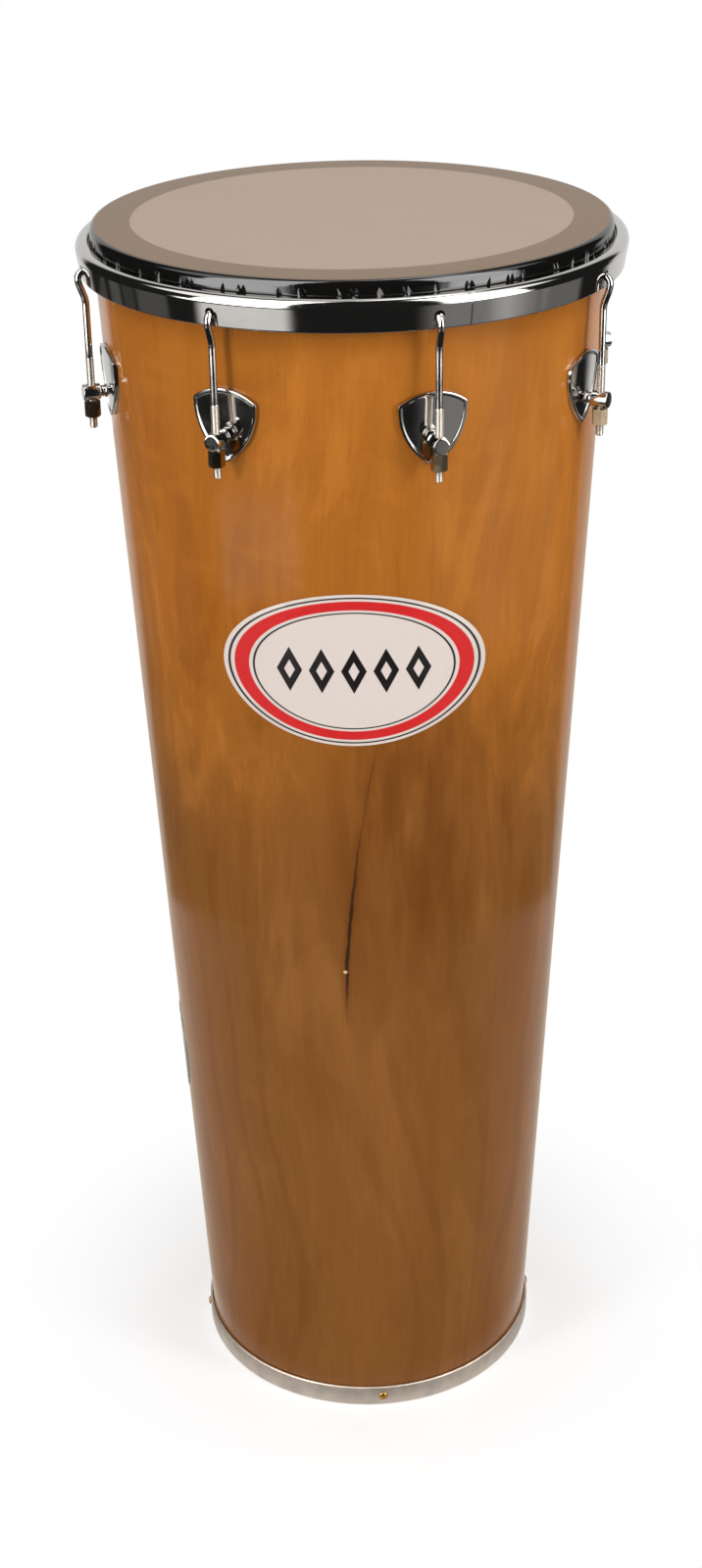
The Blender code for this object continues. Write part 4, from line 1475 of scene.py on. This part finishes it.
    def build(self, chrome: Material, hook_chrome: Material, nut_chrome: Material, steel: Material) -> None:
        """Put the eight tuning sets on the drum.

        Args:
            chrome: The finish of the parts outside.
            hook_chrome: The finish of the hooks, with their threads.
            nut_chrome: The duller finish of the tuning nuts. Its warm colour is a painted reflection of the
                wood round them.
            steel: The finish of the nuts inside.
        """
        place = self.layout
        shell = place.shell_radius(place.post_height)
        nut_middle = place.post_height - self.barrel - place.gap - self.nut_height / 2.0
        inner_middle = shell - place.wall - place.gap - place.slope * self.washer - self.inner_height / 2.0
        hook, nut, post = self.hook_mesh(), self.nut_mesh(), self.post_mesh()
        plate, inner = self.plate_mesh(), self.inner_nut_mesh()
        for number, angle in enumerate(place.lug_angles, 1):
            rod = upright(angle, place.rod_radius, place.post_height)
            show(f"hook_{number}_fine", hook, [hook_chrome], rod, Body.TUNING_SET,
                 [f"hook_{number}"])
            turned = upright(angle, place.rod_radius, nut_middle)
            show(f"tuning_nut_{number}_fine", nut, [nut_chrome], turned, f"nut_{number}",
                 [f"tuning_nut_{number}"])
            barrel = on_wall(angle, place.rod_radius, place.post_height)
            show(f"post_{number}_fine", post, [chrome], barrel, Body.DRUM, [f"post_{number}"])
            seat = on_wall(angle, shell, place.post_height)
            show(f"lug_plate_{number}_fine", plate, [chrome], seat, Body.DRUM,
                 [f"lug_plate_{number}"])
            inside = on_wall(angle, inner_middle, place.post_height)
            show(f"inner_nut_{number}_fine", inner, [steel], inside, Body.DRUM,
                 [f"inner_nut_{number}"])


@dataclass
class Sticker:
    """An oval of thin foil stuck on the shell."""

    layout: Layout
    name: str
    turn: float
    height: float
    half_width: float
    half_height: float
    slot: Slot
    foil: float = 0.0004
    steps: int = 144

    def mesh(self) -> Mesh:
        """Return the foil, bent round the shell, with local Z outward."""
        place = self.layout
        seat = place.shell_radius(self.height)
        rings = [(1.0, 0.0), (1.0, self.foil * 0.7), (0.997, self.foil)]
        rings += [(share, self.foil) for share in (0.9, 0.75, 0.6, 0.45, 0.3, 0.15, 0.0)]
        rings += [(share, 0.0) for share in (0.0, 0.3, 0.6, 0.85)]
        vertices = []
        for share, rise in rings:
            for k in range(self.steps):
                angle = 2.0 * math.pi * k / self.steps
                x, y = self.half_width * share * math.cos(angle), self.half_height * share * math.sin(angle)
                radius = place.shell_radius(self.height + y) + place.gap + rise
                vertices.append((x, y, math.sqrt(radius * radius - x * x) - seat))
        return finished_mesh(self.name, np.array(vertices), row_faces(len(rings), self.steps, self.steps))

    def build(self, print_finish: Material) -> None:
        """Put the sticker on the shell, with its print."""
        place = on_wall(FRONT + self.turn, self.layout.shell_radius(self.height), self.height)
        show(f"{self.name}_fine", self.mesh(), [print_finish], place, Body.DRUM, [self.name])


# The studio

@dataclass(frozen=True)
class Panel:
    """A bright part of the studio as polished faces see it.

    It lies between two angles round the drum, where 0 is the camera's side, and, on the floor, between two
    distances from the drum. In the air it lies between two heights of the direction that a ray takes.
    """

    start: float
    end: float
    level: float
    near: float = 0.0
    far: float = 1000.0
    low: float = -1.0
    high: float = 2.0
    soft: float = 2.5


@dataclass(frozen=True)
class Lamp:
    """A soft box, at a turn in degrees round the drum from the camera's side."""

    name: str
    turn: float
    distance: float
    height: float
    width: float
    tall: float
    power: float


@dataclass
class Studio:
    """The camera, the soft boxes, the pale floor and the surroundings."""

    distance: float = 1.5989
    camera_height: float = 1.28375
    yaw: float = -0.0045
    pitch: float = 0.4619
    roll: float = -0.0179
    lens: float = 54.19
    sensor_height: float = 36.0
    floor_size: float = 40.0
    floor_pale: Colour = (0.88, 0.88, 0.88)
    floor_worn: Colour = (0.80, 0.80, 0.80)
    shadow_reach: Span = (0.12, 0.34)
    shadow_cover: float = 0.45
    ambient: float = 0.47
    dim: float = 0.016
    aim_height: float = 0.55
    panel_edge: float = 0.02
    sky_edge: float = 0.04
    lamps: tuple[Lamp, ...] = (
        Lamp("left_box", -50.0, 2.3, 1.20, 0.55, 1.0, 30.0),
        Lamp("right_box", 58.0, 2.3, 1.20, 0.55, 1.0, 30.0),
        Lamp("top_box", 10.0, 0.7, 2.6, 1.6, 1.6, 18.0),
        Lamp("left_rim", -132.0, 2.3, 1.20, 0.8, 1.0, 11.0),
        Lamp("right_rim", 132.0, 2.3, 1.20, 0.8, 1.0, 9.0),
    )
    # Painted light on the floor, seen only by glossy rays: a pool by the foot and patches where the soft
    # boxes show.
    on_floor: tuple[Panel, ...] = (
        Panel(-200.0, 200.0, 0.70, far=0.148),
        Panel(-200.0, 200.0, 0.10, near=0.148, far=0.76),
        Panel(-200.0, -70.0, 0.18, near=0.148, far=0.76, soft=22.0),
        Panel(70.0, 200.0, 0.18, near=0.148, far=0.76, soft=22.0),
        Panel(-200.0, -112.0, 0.08, near=0.148, far=0.76, soft=14.0),
        Panel(112.0, 200.0, 0.08, near=0.148, far=0.76, soft=14.0),
        Panel(-200.0, -141.0, 0.34, near=0.76, far=2.40, soft=5.0),
        Panel(134.0, 200.0, 0.34, near=0.76, far=2.40, soft=5.0),
        Panel(-200.0, -141.0, 0.75, near=2.40, soft=5.0),
        Panel(130.0, 200.0, 0.75, near=2.40, soft=5.0),
        Panel(-66.0, -26.0, 0.90, near=1.52, far=1.84, soft=3.0),
        Panel(32.0, 72.0, 0.24, near=1.40, far=4.2, soft=8.0),
        Panel(60.0, 84.0, 0.24, near=1.40, far=2.5, soft=6.0),
        Panel(84.0, 108.0, 0.16, near=1.40, far=2.5, soft=2.0),
        Panel(-100.0, -82.0, 0.08, near=1.40, far=2.5, soft=1.0),
        Panel(-160.0, -124.0, 0.06, near=1.40, far=2.5, soft=1.0),
        Panel(-120.0, -112.0, 0.09, near=1.40, far=2.5, soft=1.0),
        Panel(-110.0, -102.0, 0.04, near=1.40, far=2.5, soft=1.0),
        Panel(-72.0, -29.0, 5.0, near=3.20, soft=6.0),
        Panel(40.0, 73.0, 5.0, near=3.20, soft=5.0),
    )
    in_air: tuple[Panel, ...] = (
        Panel(-200.0, -141.0, 0.75, soft=5.0),
        Panel(138.0, 200.0, 0.75, soft=5.0),
        Panel(-66.0, -27.0, 5.0, high=0.98, soft=2.0),
        Panel(37.0, 73.0, 5.0, high=0.90, soft=2.0),
        Panel(110.0, 153.0, 3.0, low=0.90, soft=4.0),
        Panel(-102.0, -62.0, 1.5, low=0.50, high=0.93, soft=6.0),
        Panel(62.0, 98.0, 1.5, low=0.50, high=0.93, soft=6.0),
    )

    def camera(self) -> None:
        """Set up the camera at the photograph's viewing angle."""
        sight = Vector((math.sin(self.yaw) * math.cos(self.pitch), math.cos(self.yaw) * math.cos(self.pitch),
                        -math.sin(self.pitch)))
        level = Vector((math.cos(self.yaw), -math.sin(self.yaw), 0.0))
        above = level.cross(sight)
        right = level * math.cos(self.roll) + above * math.sin(self.roll)
        up = above * math.cos(self.roll) - level * math.sin(self.roll)
        stand = Matrix((right, up, -sight)).transposed().to_4x4()
        stand.translation = Vector((0.0, -self.distance, self.camera_height))
        data = bpy.data.cameras.new("camera")
        data.sensor_fit = "VERTICAL"
        data.sensor_height = self.sensor_height
        data.lens = self.lens
        data.dof.use_dof = False
        camera = placed("camera", data)
        camera.matrix_world = Matrix.Rotation(CAMERA_TURN, 4, "Z") @ stand
        bpy.context.scene.camera = camera

    def lights(self) -> None:
        """Hang the soft boxes round the drum."""
        target = Vector((0.0, 0.0, self.aim_height))
        for box in self.lamps:
            data = bpy.data.lights.new(box.name, "AREA")
            data.shape = "RECTANGLE"
            data.size, data.size_y = box.width, box.tall
            data.energy = box.power
            lamp = placed(box.name, data)
            angle = FRONT + CAMERA_TURN + math.radians(box.turn)
            lamp.location = (box.distance * math.cos(angle), box.distance * math.sin(angle), box.height)
            lamp.rotation_euler = (target - lamp.location).to_track_quat("-Z", "Y").to_euler()
            lamp.visible_camera = False
            lamp.visible_glossy = False

    def gleam(self, graph: Graph, place: Socket, panels: Sequence[Panel]) -> Socket:
        """Return how bright the studio is for polished faces.

        Args:
            graph: The writer of the material or world.
            place: A place on the floor, or the direction of a ray.
            panels: The bright parts of the studio, there.

        Returns:
            The brightness.
        """
        turned = graph.node("ShaderNodeVectorRotate", rotation_type="Z_AXIS")
        graph.feed(turned.inputs["Vector"], place)
        turned.inputs["Angle"].default_value = -CAMERA_TURN
        angle, radius, height = graph.polar(turned.outputs[0])
        total: Value = self.dim
        for panel in panels:
            level = graph.remap(angle, panel.start - panel.soft, panel.start + panel.soft, 0.0, panel.level)
            edges = [(angle, panel.end, panel.soft, False)]
            if panel.near > Panel.near:
                edges.append((radius, panel.near, self.panel_edge, True))
            if panel.far < Panel.far:
                edges.append((radius, panel.far, self.panel_edge, False))
            if panel.low > Panel.low:
                edges.append((height, panel.low, self.sky_edge, True))
            if panel.high < Panel.high:
                edges.append((height, panel.high, self.sky_edge, False))
            for value, middle, soft, rising in edges:
                level = graph.times(level, graph.edge(value, middle, soft, rising))
            total = graph.plus(total, level)
        return total

    def floor(self) -> None:
        """Lay the pale floor, which shows as white but keeps the drum's shadow. To polished faces it glows
        with painted light, the studio's bright panels painted on it.
        """
        half = self.floor_size / 2.0
        mesh = bpy.data.meshes.new("floor")
        corners = [(-half, -half, 0.0), (half, -half, 0.0), (half, half, 0.0), (-half, half, 0.0)]
        mesh.from_pydata(corners, [], [(0, 1, 2, 3)])
        floor = placed("floor", mesh)
        material = bpy.data.materials.new("floor")
        material.use_nodes = True
        graph = Graph(material.node_tree)
        shader = material.node_tree.nodes["Principled BSDF"]
        place = graph.place()
        _, radius, _ = graph.polar(place)
        grain = graph.noise(place, 8.0, 2.0)
        tint = graph.mix(graph.times(grain, 0.03), self.floor_pale, self.floor_worn)
        graph.feed(shader.inputs["Base Color"], tint)
        shader.inputs["Roughness"].default_value = 0.9
        shader.inputs["Specular IOR Level"].default_value = 0.0
        rays = graph.node("ShaderNodeLightPath")
        seen = graph.math("MAXIMUM", rays.outputs["Is Camera Ray"], rays.outputs["Is Transmission Ray"])
        cover = graph.times(seen, graph.remap(radius, *self.shadow_reach, self.shadow_cover, 1.0))
        white = graph.node("ShaderNodeEmission")
        backdrop = graph.node("ShaderNodeMixShader")
        graph.feed(backdrop.inputs[0], cover)
        graph.feed(backdrop.inputs[1], shader.outputs[0])
        graph.feed(backdrop.inputs[2], white.outputs[0])
        # Glossy rays see the floor glow with the panels' painted light.
        mirrored = graph.node("ShaderNodeEmission")
        graph.feed(mirrored.inputs["Color"], graph.grey(self.gleam(graph, place, self.on_floor)))
        output = graph.node("ShaderNodeMixShader")
        graph.feed(output.inputs[0], rays.outputs["Is Glossy Ray"])
        graph.feed(output.inputs[1], backdrop.outputs[0])
        graph.feed(output.inputs[2], mirrored.outputs[0])
        graph.feed(material.node_tree.nodes["Material Output"].inputs["Surface"], output.outputs[0])
        mesh.materials.append(material)

    def surroundings(self) -> None:
        """Light the drum from all sides, with a white backdrop behind it and a dim studio in front."""
        world = bpy.data.worlds.new("studio")
        world.use_nodes = True
        bpy.context.scene.world = world
        graph = Graph(world.node_tree)
        background = world.node_tree.nodes["Background"]
        rays = graph.node("ShaderNodeLightPath")
        toward = graph.node("ShaderNodeTexCoord").outputs["Generated"]
        gleam = self.gleam(graph, toward, self.in_air)
        level = graph.scaled(rays.outputs["Is Glossy Ray"], graph.minus(gleam, self.ambient), self.ambient)
        seen = graph.math("MAXIMUM", rays.outputs["Is Camera Ray"], rays.outputs["Is Transmission Ray"])
        graph.feed(background.inputs["Color"], graph.mix(seen, graph.grey(level), (1.0, 1.0, 1.0)))
        background.inputs["Strength"].default_value = 1.0

    def build(self) -> None:
        """Set up the whole studio."""
        self.camera()
        self.lights()
        self.floor()
        self.surroundings()
        bpy.context.scene.view_settings.view_transform = "Standard"


def main() -> None:
    """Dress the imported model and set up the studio."""
    logging.basicConfig(level=logging.INFO, format="%(name)s: %(message)s")
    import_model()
    layout = Layout()
    effects = Effects()
    chrome = PolishedMetal("chrome_plate", effects).build()
    hoop_chrome = PolishedMetal("hoop_chrome", effects, smudge=0.05, seam_angle=29.2).build()
    hook_chrome = PolishedMetal("hook_chrome", effects, roughness=0.11, thread_top=0.0241).build()
    # The tuning nuts are duller chrome; their warm colour is a painted reflection of the wood round them.
    nut_chrome = PolishedMetal("nut_chrome", effects, colour=tone(168, 150, 122), roughness=0.20,
                               smudge=0.12).build()
    brass = PolishedMetal("brass", effects, colour=tone(196, 150, 78), roughness=0.22, smudge=0.2).build()
    steel = BrushedSteel("satin_steel", effects).build()
    alloy = BrushedSteel("alloy", effects, colour=tone(186, 184, 180)).build()
    bare = BareVeneer("bare_veneer", effects).build()
    WoodenBody(layout).build(VarnishedVeneer("varnished_veneer", effects).build(), bare, steel, brass)
    Drumhead(layout).build(DrumFilm("drum_film", effects).build(), alloy)
    CounterHoop(layout).build(hoop_chrome)
    TuningHardware(layout).build(chrome, hook_chrome, nut_chrome, steel)
    badge = Sticker(layout, "front_badge", turn=math.radians(4.8), height=0.6523, half_width=0.088,
                    half_height=0.056, slot=Slot.WHITE_FOIL)
    badge.build(BadgePrint("badge_print", effects, badge.half_width, badge.half_height).build())
    seal = Sticker(layout, "side_seal", turn=math.radians(-79.0), height=0.268, half_width=0.024,
                   half_height=0.037, slot=Slot.GREY_FOIL)
    seal.build(SealFoil("seal_foil", effects, seal.half_width, seal.half_height).build())
    Studio().build()


if __name__ == "__main__":
    main()
